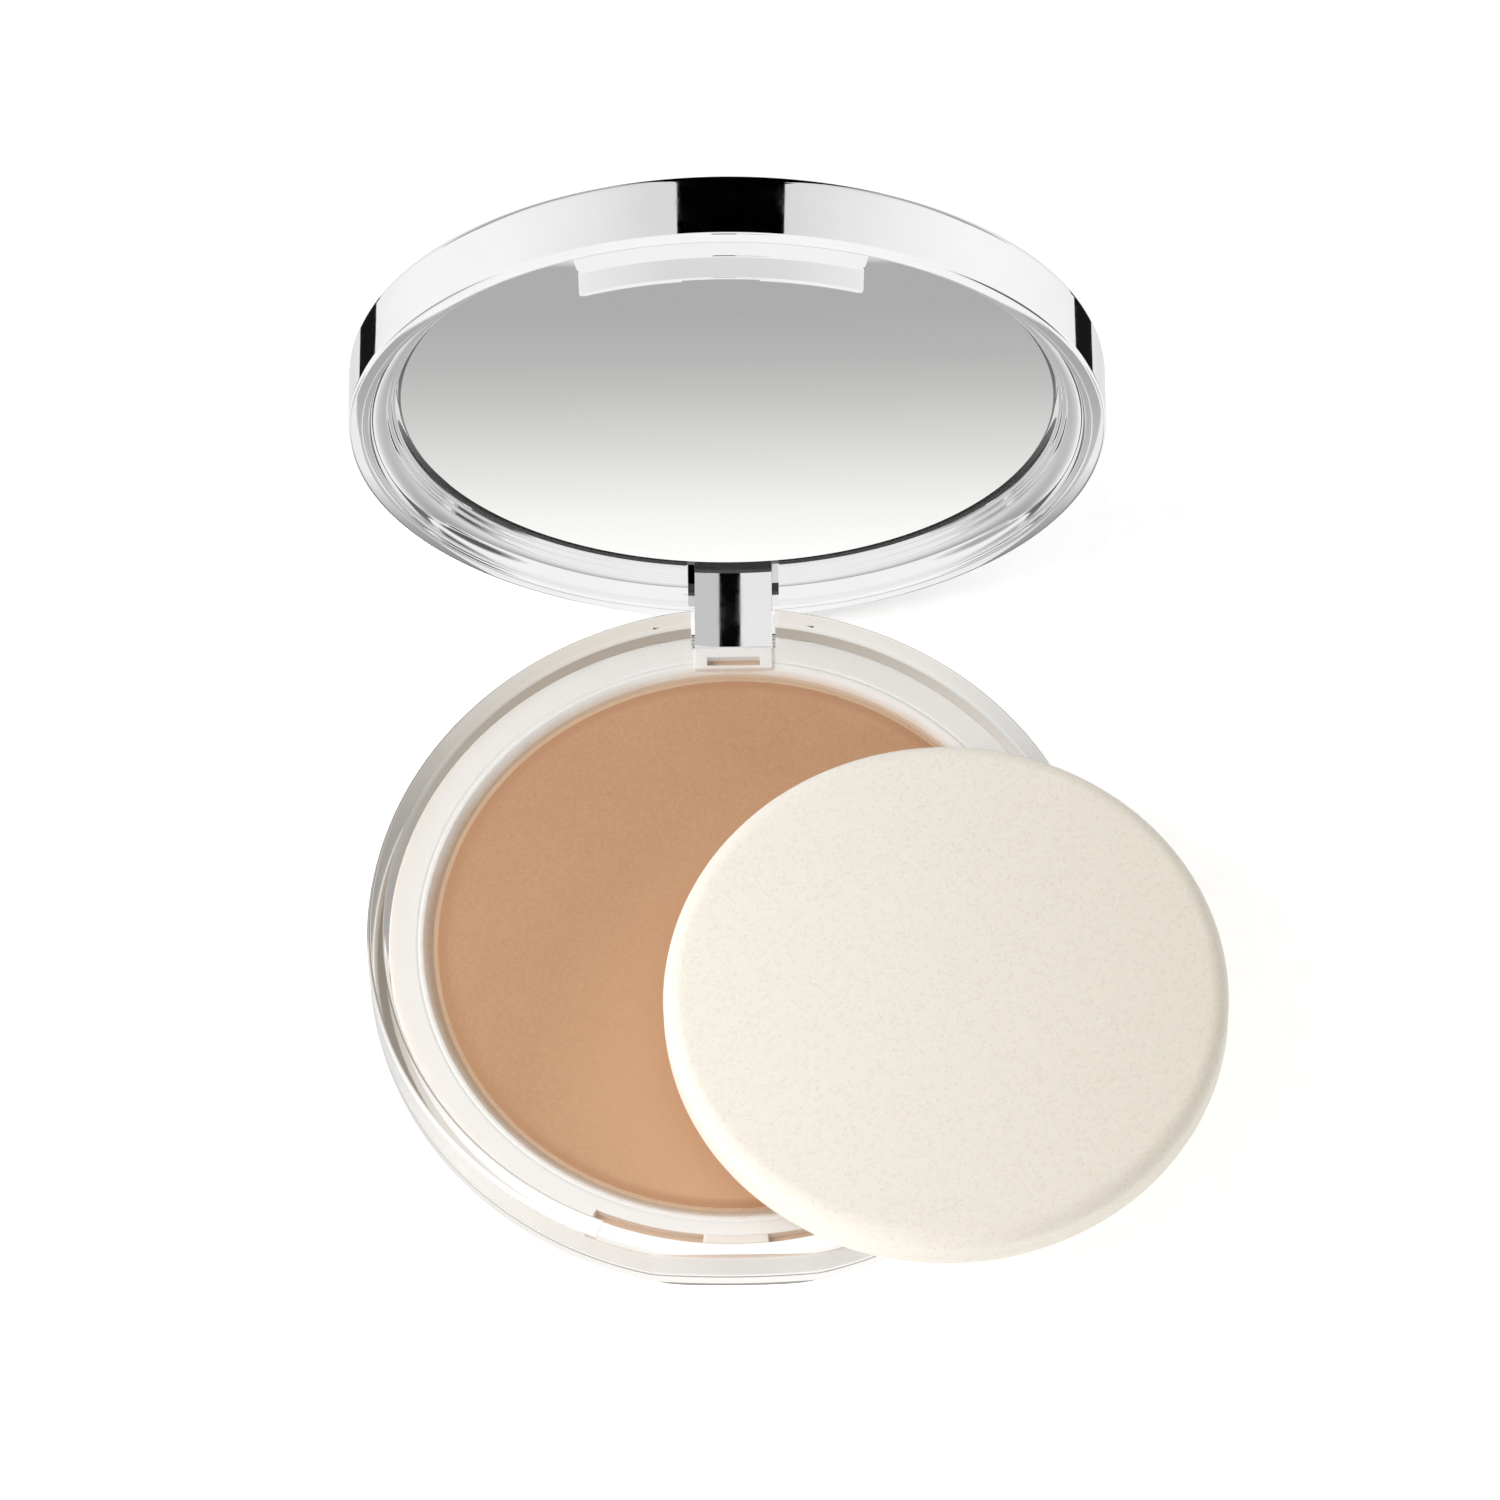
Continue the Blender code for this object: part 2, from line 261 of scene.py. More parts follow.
@dataclass(frozen=True)
class VacuumMetal(Finish):
    """Moulded ABS with an evaporated aluminium layer under lacquer: a bright mirror with
    the faint waviness of the moulding and a few hairlines from handling."""

    waviness: float = 0.004
    wear: float = 0.05
    dulled: float = 0.97

    def pattern(self, graph: Graph, place: Socket) -> Inputs:
        """Builds lacquer flow, hairlines and a patchy gloss.

        Args:
            graph: Graph of the material.
            place: Object coordinates.

        Returns:
            What it feeds the shader.
        """
        flow = graph.add("TexNoise", grain(place, 6.0, 1.0))
        stretched = graph.add("Mapping", {0: place, 2: (0.3, 0.5, 0.2), 3: (1.0, 1.0, 14.0)})
        hairs = graph.add("TexNoise", grain(stretched, 2.2, 4.0))
        clouds = graph.add("TexNoise", grain(place, 9.0, 2.0))
        haze = graph.add("MapRange", (clouds, 0.3, 0.7, 0.0, 1.0))
        dull = (*(c * self.dulled for c in srgb(self.colour)[:3]), 1.0)
        return {
            "Base Color": graph.add("Mix", {0: haze, 6: self.colour, 7: dull}, 2, data_type="RGBA"),
            "Roughness": graph.add(
                "MapRange", (hairs, 0.45, 0.8, self.roughness, self.roughness + self.wear)
            ),
            "Normal": graph.add("Bump", {"Height": flow, "Distance": self.waviness * MM, "Strength": 0.5}),
        }


@dataclass(frozen=True)
class SilveredGlass(Finish):
    """Float glass silvered on the back: an almost perfect reflection, very slightly green,
    with a trace of dust."""

    def pattern(self, graph: Graph, place: Socket) -> Inputs:
        """Builds the dust that dulls the gloss.

        Args:
            graph: Graph of the material.
            place: Object coordinates.

        Returns:
            What it feeds the shader.
        """
        dust = graph.add("TexNoise", grain(place, 0.5, 4.0))
        ends = (self.roughness, self.roughness + 0.03)
        return {"Roughness": graph.add("MapRange", (dust, 0.55, 0.8, *ends))}


@dataclass(frozen=True)
class CloudedSurface(Finish):
    """Two shades that follow the bumps of a fine or a cloudy surface."""

    size: float = 1.0
    shades: tuple[str, str] = ("000000", "FFFFFF")
    depth: float = 0.0
    strength: float = 1.0
    glow: float = 0.0

    def pattern(self, graph: Graph, place: Socket) -> Inputs:
        """Builds the shades and their relief.

        Args:
            graph: Graph of the material.
            place: Object coordinates.

        Returns:
            What it feeds the shader.
        """
        cloud = graph.add("TexNoise", grain(place, self.size))
        bump = {"Height": cloud, "Distance": self.depth * MM, "Strength": self.strength}
        return {
            "Base Color": graph.add("ValToRGB", (cloud,), stops=tuple(zip((0.3, 0.7), self.shades))),
            "Normal": graph.add("Bump", bump),
            "Emission Color": "FFFFFF",
            "Emission Strength": self.glow,
        }


@dataclass(frozen=True)
class ClearStyrene(Finish):
    """Injection-moulded styrene, polished in the mould: clear and warm grey, with painted light and shade
    across it, lighter on one side and darker on the other, and painted shade where the eye meets it edge-on."""

    # Painted light and shade across the wall: its lit tint and its shaded tint.
    painted_light_tint: str = "FCFAF7"
    shaded: str = "C6BCAF"
    painted_shade_turn: float = -35.0
    painted_shade_ends: Point = (-30.0, 36.0)
    # Painted shade where the wall is seen edge-on.
    outline: str = "A39D95"
    shadow: str = "F2EFEC"

    def pattern(self, graph: Graph, place: Socket) -> Inputs:
        """Builds flow ripples, handling marks, the painted light and shade across the wall and at its edges,
        and lets lamps through.

        Args:
            graph: Graph of the material.
            place: Object coordinates.

        Returns:
            What it feeds the shader.
        """
        flow = graph.add("TexNoise", grain(place, 7.0, 1.0))
        marks = graph.add("TexNoise", grain(place, 1.2, 4.0))
        turned = graph.add("Mapping", {0: place, 2: (0.0, 0.0, math.radians(self.painted_shade_turn))})
        across = graph.add("SeparateXYZ", (turned,), 1)
        drift = graph.add("Math", (flow, 6.0 * MM), operation="MULTIPLY")
        along = graph.add("Math", (across, drift), operation="ADD")
        # Painted light and shade: the wall lighter on one side and darker on the other.
        painted_shade = graph.add("MapRange", (along, *metres(self.painted_shade_ends), 0.0, 1.0))
        shades = ((0.0, self.painted_light_tint), (0.5, self.colour), (1.0, self.shaded))
        tint = graph.add("ValToRGB", (painted_shade,), stops=shades)
        facing = graph.add("LayerWeight", {"Blend": 0.5}, "Facing")
        grazing = graph.add("MapRange", (facing, 0.72, 0.97, 0.0, 1.0))
        shadow = graph.add("LightPath", out="Is Shadow Ray")
        through = graph.add("BsdfTransparent", (self.shadow,))
        surface = graph.tree.nodes[SHADER].outputs[0]
        graph.feed("Material Output", {"Surface": graph.add("MixShader", (shadow, surface, through))})
        return {
            # Painted shade: the outline colour where the wall is seen edge-on.
            "Base Color": graph.add("Mix", {0: grazing, 6: tint, 7: self.outline}, 2, data_type="RGBA"),
            "Roughness": graph.add("MapRange", (marks, 0.5, 0.8, self.roughness, self.roughness + 0.06)),
            "Normal": graph.add("Bump", {"Height": flow, "Distance": 0.004 * MM, "Strength": 0.3}),
        }


@dataclass(frozen=True)
class WhiteStyrene(Finish):
    """White translucent moulding with a satin face; a painted reflection of the powder tints its lip tan,
    fading toward the hinge side, and it is tan deeper in its catch slot. Sizes are radii and heights on the
    tray."""

    # Tan of the painted reflection of the powder on the lip, and of the slot.
    powder: str = "CDAE90"
    lip: Point = (31.0, 32.0)
    ragged: float = 0.5
    painted_reflection_fade_along: Point = (4.0, 22.0)
    painted_reflection_fade: float = 0.55
    slot_level: Point = (5.2, 5.5)
    slot_from: Point = (32.5, 33.0)
    slot_drop: float = 0.49
    slot_end: Point = (34.6, 34.8)

    def pattern(self, graph: Graph, place: Socket) -> Inputs:
        """Builds depth under the surface, satin grain, the painted reflection of the powder on the lip and
        the tan in the slot.

        Args:
            graph: Graph of the material.
            place: Object coordinates.

        Returns:
            What it feeds the shader.
        """
        flat = graph.add("VectorMath", (place, (1.0, 1.0, 0.0)), operation="MULTIPLY")
        reach = graph.add("VectorMath", (flat,), 1, operation="LENGTH")
        drift = graph.add("TexNoise", grain(place, 1.6))
        spread = graph.add("Math", (drift, self.ragged * MM), operation="MULTIPLY")
        edge = graph.add("Math", (reach, spread), operation="ADD")
        north, height = graph.add("SeparateXYZ", (place,)).node.outputs[1:3]
        painted_reflection_fade = graph.add("MapRange", (north, *metres(self.painted_reflection_fade_along), 0.0, self.painted_reflection_fade * MM))
        edge = graph.add("Math", (edge, painted_reflection_fade), operation="ADD")
        # Painted reflection of the powder: tan on the lip, fading toward the hinge side.
        lip = graph.add("MapRange", (edge, *metres(self.lip), 0.95, 0.0))
        deeper = graph.add("MapRange", (reach, *metres(self.slot_from), 0.0, self.slot_drop * MM))
        depth = graph.add("Math", (height, deeper), operation="SUBTRACT")
        # Tan deeper in the catch slot.
        sunk = graph.add("MapRange", (depth, *metres(self.slot_level), 0.85, 0.0))
        inside = graph.add("MapRange", (reach, *metres(self.slot_end), 1.0, 0.0))
        sunk = graph.add("Math", (sunk, inside), operation="MULTIPLY")
        # Painted reflection on the lip, with the tan in the slot.
        dust = graph.add("Math", (lip, sunk), operation="MAXIMUM")
        satin = graph.add("TexNoise", grain(place, 0.25, 2.0))
        gloss = (self.roughness - 0.05, self.roughness + 0.08)
        return {
            "Subsurface Weight": 0.35,
            "Subsurface Radius": (1.0, 0.95, 0.9),
            "Subsurface Scale": 1.5 * MM,
            "Base Color": graph.add("Mix", {0: dust, 6: self.colour, 7: self.powder}, 2, data_type="RGBA"),
            "Roughness": graph.add("MapRange", (satin, 0.3, 0.7, *gloss)),
            "Normal": graph.add("Bump", {"Height": satin, "Distance": 0.006 * MM, "Strength": 0.5}),
        }


@dataclass(frozen=True)
class PressedPowder(Finish):
    """Talc and mica with iron oxides, pressed at tonnes: matt, with a fine speckle of pigment, faint clouds
    where the die pressed harder, painted light in a paler patch round the sponge and painted shade along the
    edge."""

    dark: str = "B98C6A"
    light: str = "CFA583"
    # Painted light: a paler patch round the sponge, with its colour, centre and reach.
    painted_light_colour: str = "D5AA86"
    painted_light_centre: Point = (22.0, -20.0)
    painted_light: Point = (24.0, 44.0)
    # Radii over which the cake darkens toward its edge: painted shade.
    edge: Point = (29.2, 29.9)
    low_cloud: str = "BD906C"
    high_cloud: str = "C49874"

    def pattern(self, graph: Graph, place: Socket) -> Inputs:
        """Builds clouds, speckle, the painted light round the sponge, the painted shade along the edge and
        the grain.

        Args:
            graph: Graph of the material.
            place: Object coordinates.

        Returns:
            What it feeds the shader.
        """
        cloud = graph.add("TexNoise", grain(place, 11.0, 2.0))
        clouds = graph.add("ValToRGB", (cloud,), stops=((0.3, self.low_cloud), (0.7, self.high_cloud)))
        # Pigment grains are some 20 micrometres; drawn at 0.3 mm so that they show.
        speckle = graph.add("TexNoise", grain(place, 0.3, 4.0))
        shades = ((0.3, self.dark), (0.5, self.colour), (0.72, self.light))
        grains = graph.add("ValToRGB", (speckle,), stops=shades)
        body = graph.add("Mix", {0: 0.45, 6: clouds, 7: grains}, 2, data_type="RGBA")
        centre = (*metres(self.painted_light_centre), 0.0)
        near = graph.add("VectorMath", (place, centre), operation="SUBTRACT")
        reach = graph.add("VectorMath", (near,), 1, operation="LENGTH")
        # Painted light: paler round the sponge.
        painted_light = graph.add("MapRange", (reach, *metres(self.painted_light), 1.0, 0.0))
        body = graph.add("Mix", {0: painted_light, 6: body, 7: self.painted_light_colour}, 2, data_type="RGBA")
        out = graph.add("VectorMath", (place,), 1, operation="LENGTH")
        # Painted shade: darker toward the cake's edge.
        pressed = graph.add("MapRange", (out, *metres(self.edge), 0.0, 0.85))
        return {
            "Sheen Weight": 0.12,
            "Sheen Roughness": 0.6,
            "Specular IOR Level": 0.2,
            "Base Color": graph.add("Mix", {0: pressed, 6: body, 7: self.dark}, 2, data_type="RGBA"),
            "Normal": graph.add("Bump", {"Height": speckle, "Distance": 0.05 * MM, "Strength": 0.6}),
        }


@dataclass(frozen=True)
class LatexFoam(Finish):
    """Fine open-cell latex foam, cut and ground round: matt cream with small pores, and painted shade, a
    shade darker toward its right side."""

    shaded: str = "EEE6D7"
    light: str = "F8F1E4"
    # X over which the painted shade deepens toward the right side.
    painted_shade_span: Point = (-6.0, 50.0)

    def pattern(self, graph: Graph, place: Socket) -> Inputs:
        """Builds cells, pores, the painted shade toward the right side and light that spreads inside the
        foam.

        Args:
            graph: Graph of the material.
            place: Object coordinates.

        Returns:
            What it feeds the shader.
        """
        # Cells are about 0.15 mm; drawn at 0.4 mm so that they show.
        cells = graph.add("TexNoise", grain(place, 0.42, 5.0))
        pattern = {"Vector": place, "Scale": 1.0 / (0.7 * MM), "Randomness": 1.0}
        pores = graph.add("TexVoronoi", pattern, "Distance")
        open_cells = graph.add("MapRange", (pores, 0.05, 0.25, 0.0, 1.0))
        shades = ((0.25, self.shaded), (0.5, self.colour), (0.75, self.light))
        tone = graph.add("ValToRGB", (cells,), stops=shades)
        body = graph.add("Mix", {0: open_cells, 6: self.shaded, 7: tone}, 2, data_type="RGBA")
        across = graph.add("SeparateXYZ", (place,))
        # Painted shade: darker toward the right side.
        side = graph.add("MapRange", (across, *metres(self.painted_shade_span), 0.0, 1.0))
        painted_shade = graph.add("ValToRGB", (side,), stops=((0.0, "FFFFFF"), (0.45, "F9F9F9"), (1.0, "F3F2ED")))
        shaded = {0: 1.0, 6: body, 7: painted_shade}
        depth = graph.add("Math", (cells, open_cells), operation="MULTIPLY")
        return {
            "Subsurface Weight": 0.4,
            "Subsurface Radius": (1.0, 0.85, 0.6),
            "Subsurface Scale": 1.2 * MM,
            "Specular IOR Level": 0.15,
            "Sheen Weight": 0.15,
            "Sheen Roughness": 0.7,
            "Base Color": graph.add("Mix", shaded, 2, data_type="RGBA", blend_type="MULTIPLY"),
            "Normal": graph.add("Bump", {"Height": depth, "Distance": 0.07 * MM, "Strength": 0.6}),
        }


@dataclass(frozen=True)
class DrawnMetal(Finish):
    """Drawn or rolled metal: fine lines along one axis over a satin surface."""

    line: float = 0.12
    stretch: Triple = (0.02, 1.0, 1.0)

    def pattern(self, graph: Graph, place: Socket) -> Inputs:
        """Builds the drawing lines.

        Args:
            graph: Graph of the material.
            place: Object coordinates.

        Returns:
            What it feeds the shader.
        """
        along = graph.add("Mapping", {0: place, 3: self.stretch})
        lines = graph.add("TexNoise", grain(along, self.line))
        gloss = (self.roughness - 0.08, self.roughness + 0.1)
        return {
            "Roughness": graph.add("MapRange", (lines, 0.3, 0.7, *gloss)),
            "Normal": graph.add("Bump", {"Height": lines, "Distance": 0.01 * MM, "Strength": 0.5}),
        }


@dataclass(frozen=True)
class DustedPan(DrawnMetal):
    """Drawn aluminium whose rim is caked with the powder it holds."""

    rim: Point = (3.9, 4.5)
    powder: str = "BE9774"

    def pattern(self, graph: Graph, place: Socket) -> Inputs:
        """Builds the drawing lines, then powder above a height.

        Args:
            graph: Graph of the material.
            place: Object coordinates.

        Returns:
            What it feeds the shader.
        """
        lines = super().pattern(graph, place)
        height = graph.add("SeparateXYZ", (place,), 2)
        clumps = graph.add("TexNoise", grain(place, 0.4))
        spread = graph.add("Math", (clumps, 0.6 * MM), operation="MULTIPLY")
        level = graph.add("Math", (height, spread), operation="ADD")
        caked = graph.add("MapRange", (level, *metres(self.rim), 0.0, 1.0))
        return {
            **lines,
            "Base Color": graph.add("Mix", {0: caked, 6: self.colour, 7: self.powder}, 2, data_type="RGBA"),
            "Metallic": graph.add("MapRange", (caked, 0.0, 1.0, 1.0, 0.0)),
            "Roughness": graph.add("MapRange", (caked, 0.0, 1.0, self.roughness, 0.9)),
        }


# ---------------------------------------------------------------- mesh helpers


def rounded(corners: Sequence[Triple], closed: bool = False, segments: int = 5) -> list[Vector]:
    """Points along an outline whose corners are arcs.

    Args:
        corners: Corner positions with the radius of each; 0 keeps it sharp.
        closed: Whether the last corner meets the first.
        segments: Straight pieces in each arc.

    Returns:
        The outline's points in order.
    """
    points: list[Vector] = []
    count = len(corners)
    for i, (u, v, radius) in enumerate(corners):
        here = Vector((u, v))
        if radius <= 0 or (not closed and i in (0, count - 1)):
            points.append(here)
            continue
        before = (Vector(corners[i - 1][:2]) - here).normalized()
        after = (Vector(corners[(i + 1) % count][:2]) - here).normalized()
        half = before.angle(after) / 2
        centre = here + (before + after).normalized() * (radius / math.sin(half))
        first = here + before * (radius / math.tan(half)) - centre
        second = here + after * (radius / math.tan(half)) - centre
        start = math.atan2(first.y, first.x)
        turn = (math.atan2(second.y, second.x) - start + math.pi) % FULL_TURN - math.pi
        for k in range(segments + 1):
            angle = start + turn * k / segments
            points.append(centre + Vector((math.cos(angle), math.sin(angle))) * radius)
    return points


def spin_outline(
    points: Sequence[Vector], closed: bool, steps: int, turn: float = FULL_TURN, start: float = 0.0
) -> Shape:
    """Turns an outline of radii and heights about Z.

    Args:
        points: Outline in millimetres.
        closed: Whether the outline closes on itself.
        steps: Facets over the turn.
        turn: Angle turned; less than a full turn is capped at both ends.
        start: Angle of the first section.

    Returns:
        A mesh in metres.
    """
    shape = bmesh.new()
    verts = [shape.verts.new((p.x * MM, 0.0, p.y * MM)) for p in points]
    pairs = list(zip(verts, verts[1:]))
    if closed:
        pairs.append((verts[-1], verts[0]))
    edges = [shape.edges.new(pair) for pair in pairs]
    full = turn >= FULL_TURN - 1e-6
    bmesh.ops.rotate(shape, verts=verts, cent=(0, 0, 0), matrix=Matrix.Rotation(start, 3, "Z"))
    bmesh.ops.spin(
        shape,
        geom=verts + edges,
        cent=(0, 0, 0),
        axis=(0, 0, 1),
        dvec=(0, 0, 0),
        angle=turn,
        steps=steps,
        use_merge=full,
        use_duplicate=False,
    )
    bmesh.ops.remove_doubles(shape, verts=shape.verts, dist=WELD)
    if not full:
        bmesh.ops.holes_fill(shape, edges=shape.edges, sides=0)
    bmesh.ops.recalc_face_normals(shape, faces=shape.faces)
    return shape


def block(low: Triple, high: Triple, edge: float = 0.0) -> Shape:
    """A box between two corners in millimetres.

    Args:
        low: Lowest corner.
        high: Highest corner.
        edge: Radius of its edges.

    Returns:
        A closed mesh in metres.
    """
    shape = bmesh.new()
    bmesh.ops.create_cube(shape, size=1.0)
    size = [(b - a) * MM for a, b in zip(low, high)]
    middle = [(a + b) / 2 * MM for a, b in zip(low, high)]
    bmesh.ops.scale(shape, vec=size, verts=shape.verts)
    bmesh.ops.translate(shape, vec=middle, verts=shape.verts)
    if edge > 0:
        round_edges(shape, edge, 3)
    return shape


def drum(radius: float, low: float, high: float, segments: int, axis: Point | None = None) -> Shape:
    """A round bar about Z or about a line along X.

    Args:
        radius: Its radius in millimetres.
        low: Its lowest end.
        high: Its highest end.
        segments: Facets round it.
        axis: Y and Z of the line along X; without them the bar stands about Z.

    Returns:
        A closed mesh in metres.
    """
    shape = bmesh.new()
    middle = (low + high) / 2
    if axis is None:
        place = Matrix.Translation((0, 0, middle * MM))
    else:
        place = Matrix.Translation(Vector((middle, *axis)) * MM) @ Matrix.Rotation(math.pi / 2, 4, "Y")
    bmesh.ops.create_cone(
        shape,
        cap_ends=True,
        segments=segments,
        radius1=radius * MM,
        radius2=radius * MM,
        depth=(high - low) * MM,
        matrix=place,
    )
    return shape


def sector(
    inner: float, outer: float, low: float, high: float, half_angle: float, edge: float = 0.0
) -> Shape:
    """A curved bar centred on the front.

    Args:
        inner: Inner radius in millimetres.
        outer: Outer radius.
        low: Lowest Z.
        high: Highest Z.
        half_angle: Half its angle.
        edge: Radius of its edges.

    Returns:
        A closed mesh in metres.
    """
    outline = [Vector((inner, low)), Vector((outer, low)), Vector((outer, high)), Vector((inner, high))]
    steps = max(6, round(math.degrees(half_angle) * 2))
    shape = spin_outline(outline, True, steps, 2 * half_angle, FRONT - half_angle)
    if edge > 0:
        round_edges(shape, edge, 3)
    return shape


def round_edges(shape: Shape, radius: float, segments: int = 2, above: float = 40.0) -> None:
    """Rounds every edge sharper than an angle.

    Args:
        shape: Mesh to change.
        radius: Radius in millimetres.
        segments: Facets across each rounding.
        above: Angle in degrees.
    """
    limit = math.radians(above)
    edges = [e for e in shape.edges if e.is_manifold and e.calc_face_angle(0.0) > limit]
    bmesh.ops.bevel(
        shape,
        geom=edges,
        offset=radius * MM,
        offset_type="OFFSET",
        segments=segments,
        profile=0.5,
        affect="EDGES",
        clamp_overlap=True,
        material=-1,
    )


def make_object(name: str, shape: Shape, place: Matrix | None = None) -> Piece:
    """Turns a bmesh to an object at the origin with its place in its mesh.

    Args:
        name: Piece name.
        shape: Mesh in metres; it is freed.
        place: Where it goes.

    Returns:
        The new object.
    """
    mesh = bpy.data.meshes.new(name)
    shape.to_mesh(mesh)
    shape.free()
    if place is not None:
        mesh.transform(place)
    piece = bpy.data.objects.new(name, mesh)
    bpy.context.scene.collection.objects.link(piece)
    return piece


def combine(piece: Piece, steps: Sequence[tuple[Join, Shape]], place: Matrix | None = None) -> None:
    """Adds solids to a piece and cuts solids from it, for good.

    Args:
        piece: Piece to change.
        steps: Solids in order, each with how it is joined; they are freed.
        place: Where the solids go.
    """
    for how, tool in steps:
        helper = make_object(piece.name + "_tool", tool, place)
        change = piece.modifiers.new("combine", "BOOLEAN")
        change.operation = how.value
        change.solver = "EXACT"
        change.object = helper
        bpy.context.view_layer.update()
        made = bpy.data.meshes.new_from_object(piece.evaluated_get(bpy.context.evaluated_depsgraph_get()))
        old = piece.data
        piece.modifiers.clear()
        piece.data = made
        made.name = piece.name
        bpy.data.meshes.remove(old)
        spent = helper.data
        bpy.data.objects.remove(helper)
        bpy.data.meshes.remove(spent)


def soften(piece: Piece, radius: float, segments: int) -> None:
    """Rounds the edges that cutting left sharp.

    Args:
        piece: Piece to change.
        radius: Radius in millimetres.
        segments: Facets across each rounding.
    """
    shape = bmesh.new()
    shape.from_mesh(piece.data)
    round_edges(shape, radius, segments, 50.0)
    shape.to_mesh(piece.data)
    shape.free()


def dress(piece: Piece, body: Body, slot: str, replaced: str, *finishes: Finish) -> Piece:
    """Shades a piece, gives it its materials and ties it to the part.

    Args:
        piece: Finished piece.
        body: Body it rides on.
        slot: Record slot of its finish; not used.
        replaced: Node it stands for.
        *finishes: Finishes in slot order.

    Returns:
        The same piece.
    """
    for finish in finishes:
        piece.data.materials.append(finish.build())
    piece.data.shade_smooth()
    piece.data.set_sharp_from_angle(angle=SHARP)
    level = piece.modifiers.new("level_shading", "WEIGHTED_NORMAL")
    level.keep_sharp = True
    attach(piece, body.value)
    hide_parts(replaced)
    return piece


# ---------------------------------------------------------------- the part's own sizes


@dataclass(frozen=True)
class Extent:
    """A node's box at rest, in millimetres."""

    low: Vector
    high: Vector

    @classmethod
    def of(cls, node: str) -> Extent:
        """Reads a node's box from the frame.

        Args:
            node: Name of the node.

        Returns:
            Its box.
        """
        low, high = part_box(node)
        return cls(low / MM, high / MM)

    @property
    def centre(self) -> Vector:
        """Middle of the box."""
        return (self.low + self.high) / 2

    @property
    def radius(self) -> float:
        """Half the box's width."""
        return (self.high.x - self.low.x) / 2


@dataclass(frozen=True)
class Layout:
    """Where the part's own solids put everything."""

    base: Extent
    lid: Extent
    mirror: Extent
    pan: Extent
    cake: Extent
    sponge: Extent
    hinge: Vector

    @classmethod
    def read(cls, frame: dict) -> Layout:
        """Reads the layout from the loaded frame.


        Returns:
            The layout in millimetres.
        """
        pivot = next(j for j in frame["joints"] if j["name"] == "lid_hinge")
        nodes = ("base_shell", "lid_shell", "mirror", "powder_pan", "powder_cake", "sponge")
        boxes = [Extent.of(node) for node in nodes]
        return cls(*boxes, Vector(pivot["pos_m"]) / MM)

    @property
    def lid_place(self) -> Matrix:
        """Takes the lid's own frame to where the open lid stands."""
        origin = Vector((self.lid.centre.x, self.lid.low.y, self.lid.centre.z)) * MM
        return Matrix.Translation(origin) @ Matrix.Rotation(-math.pi / 2, 4, "X")

    @property
    def lid_hinge(self) -> Point:
        """Y and Z of the hinge axis in the lid's own frame."""
        return (self.lid.centre.z - self.hinge.z, self.hinge.y - self.lid.low.y)


# ---------------------------------------------------------------- base


@dataclass
class BaseShell:
    """Clear outer cup with its thumb flat, hinge notch and pin knuckles."""

    layout: Layout
    wall: float = 2.0
    floor: float = 1.2
    foot: float = 1.5
    lip: float = 0.45
    inner_fillet: float = 0.4
    flat_depth: float = 0.87
    flat_half: float = 12.0
    step_depth: float = 0.8
    step_half_angle: float = math.radians(22.0)
    notch_half: float = 4.3
    notch_floor: float = 2.0
    knuckle_outer: float = 8.6
    knuckle_front: float = 33.5
    knuckle_top: float = 5.15
    bore: float = 0.66
    bore_half: float = 8.2
    edge: float = 0.12
    finish: Finish = ClearStyrene("clear_styrene", "F3F0EB", 0.11, 0.0, 1.57, 1.0)

    def knuckle(self, side: int) -> Shape:
        """Makes a knuckle that reaches a little into the notch and the floor.

        Args:
            side: -1 for the left one, 1 for the right one.

        Returns:
            A closed mesh in metres.
        """
        near, far = sorted((side * (self.notch_half - 0.2), side * self.knuckle_outer))
        low = (near, self.knuckle_front, self.floor - 0.2)
        return block(low, (far, self.layout.hinge.y + 0.35, self.knuckle_top))

    def build(self) -> list[Piece]:
        """Makes the clear cup.

        Returns:
            The dressed piece.
        """
        radius, height, hinge = self.layout.base.radius, self.layout.base.high.z, self.layout.hinge
        inner, half, flat = radius - self.wall, self.notch_half, self.flat_depth - radius
        corners = [
            (0.0, self.floor, 0.0),
            (inner, self.floor, self.inner_fillet),
            (inner, height, self.lip),
            (radius, height, self.lip),
            (radius, 0.0, self.foot),
            (0.0, 0.0, 0.0),
        ]
        top = height - self.step_depth
        notch_low = (-half, self.knuckle_front - 0.5, self.notch_floor)
        flat_low = (-self.flat_half, flat - 5 * PAST, -PAST)
        steps = (
            (Join.ADD, self.knuckle(-1)),
            (Join.ADD, self.knuckle(1)),
            (Join.CUT, block(notch_low, (half, radius + 2 * PAST, height + PAST))),
            (Join.CUT, drum(self.bore, -self.bore_half, self.bore_half, BORE_FACETS, hinge.yz)),
            (Join.CUT, block(flat_low, (self.flat_half, flat, height + PAST))),
            (Join.CUT, sector(inner - PAST, radius + PAST, top, height + PAST, self.step_half_angle)),
        )
        piece = make_object("clear_base", spin_outline(rounded(corners), False, 240))
        combine(piece, steps)
        soften(piece, self.edge, 2)
        return [dress(piece, Body.BASE, "clear_shell", "base_shell", self.finish)]


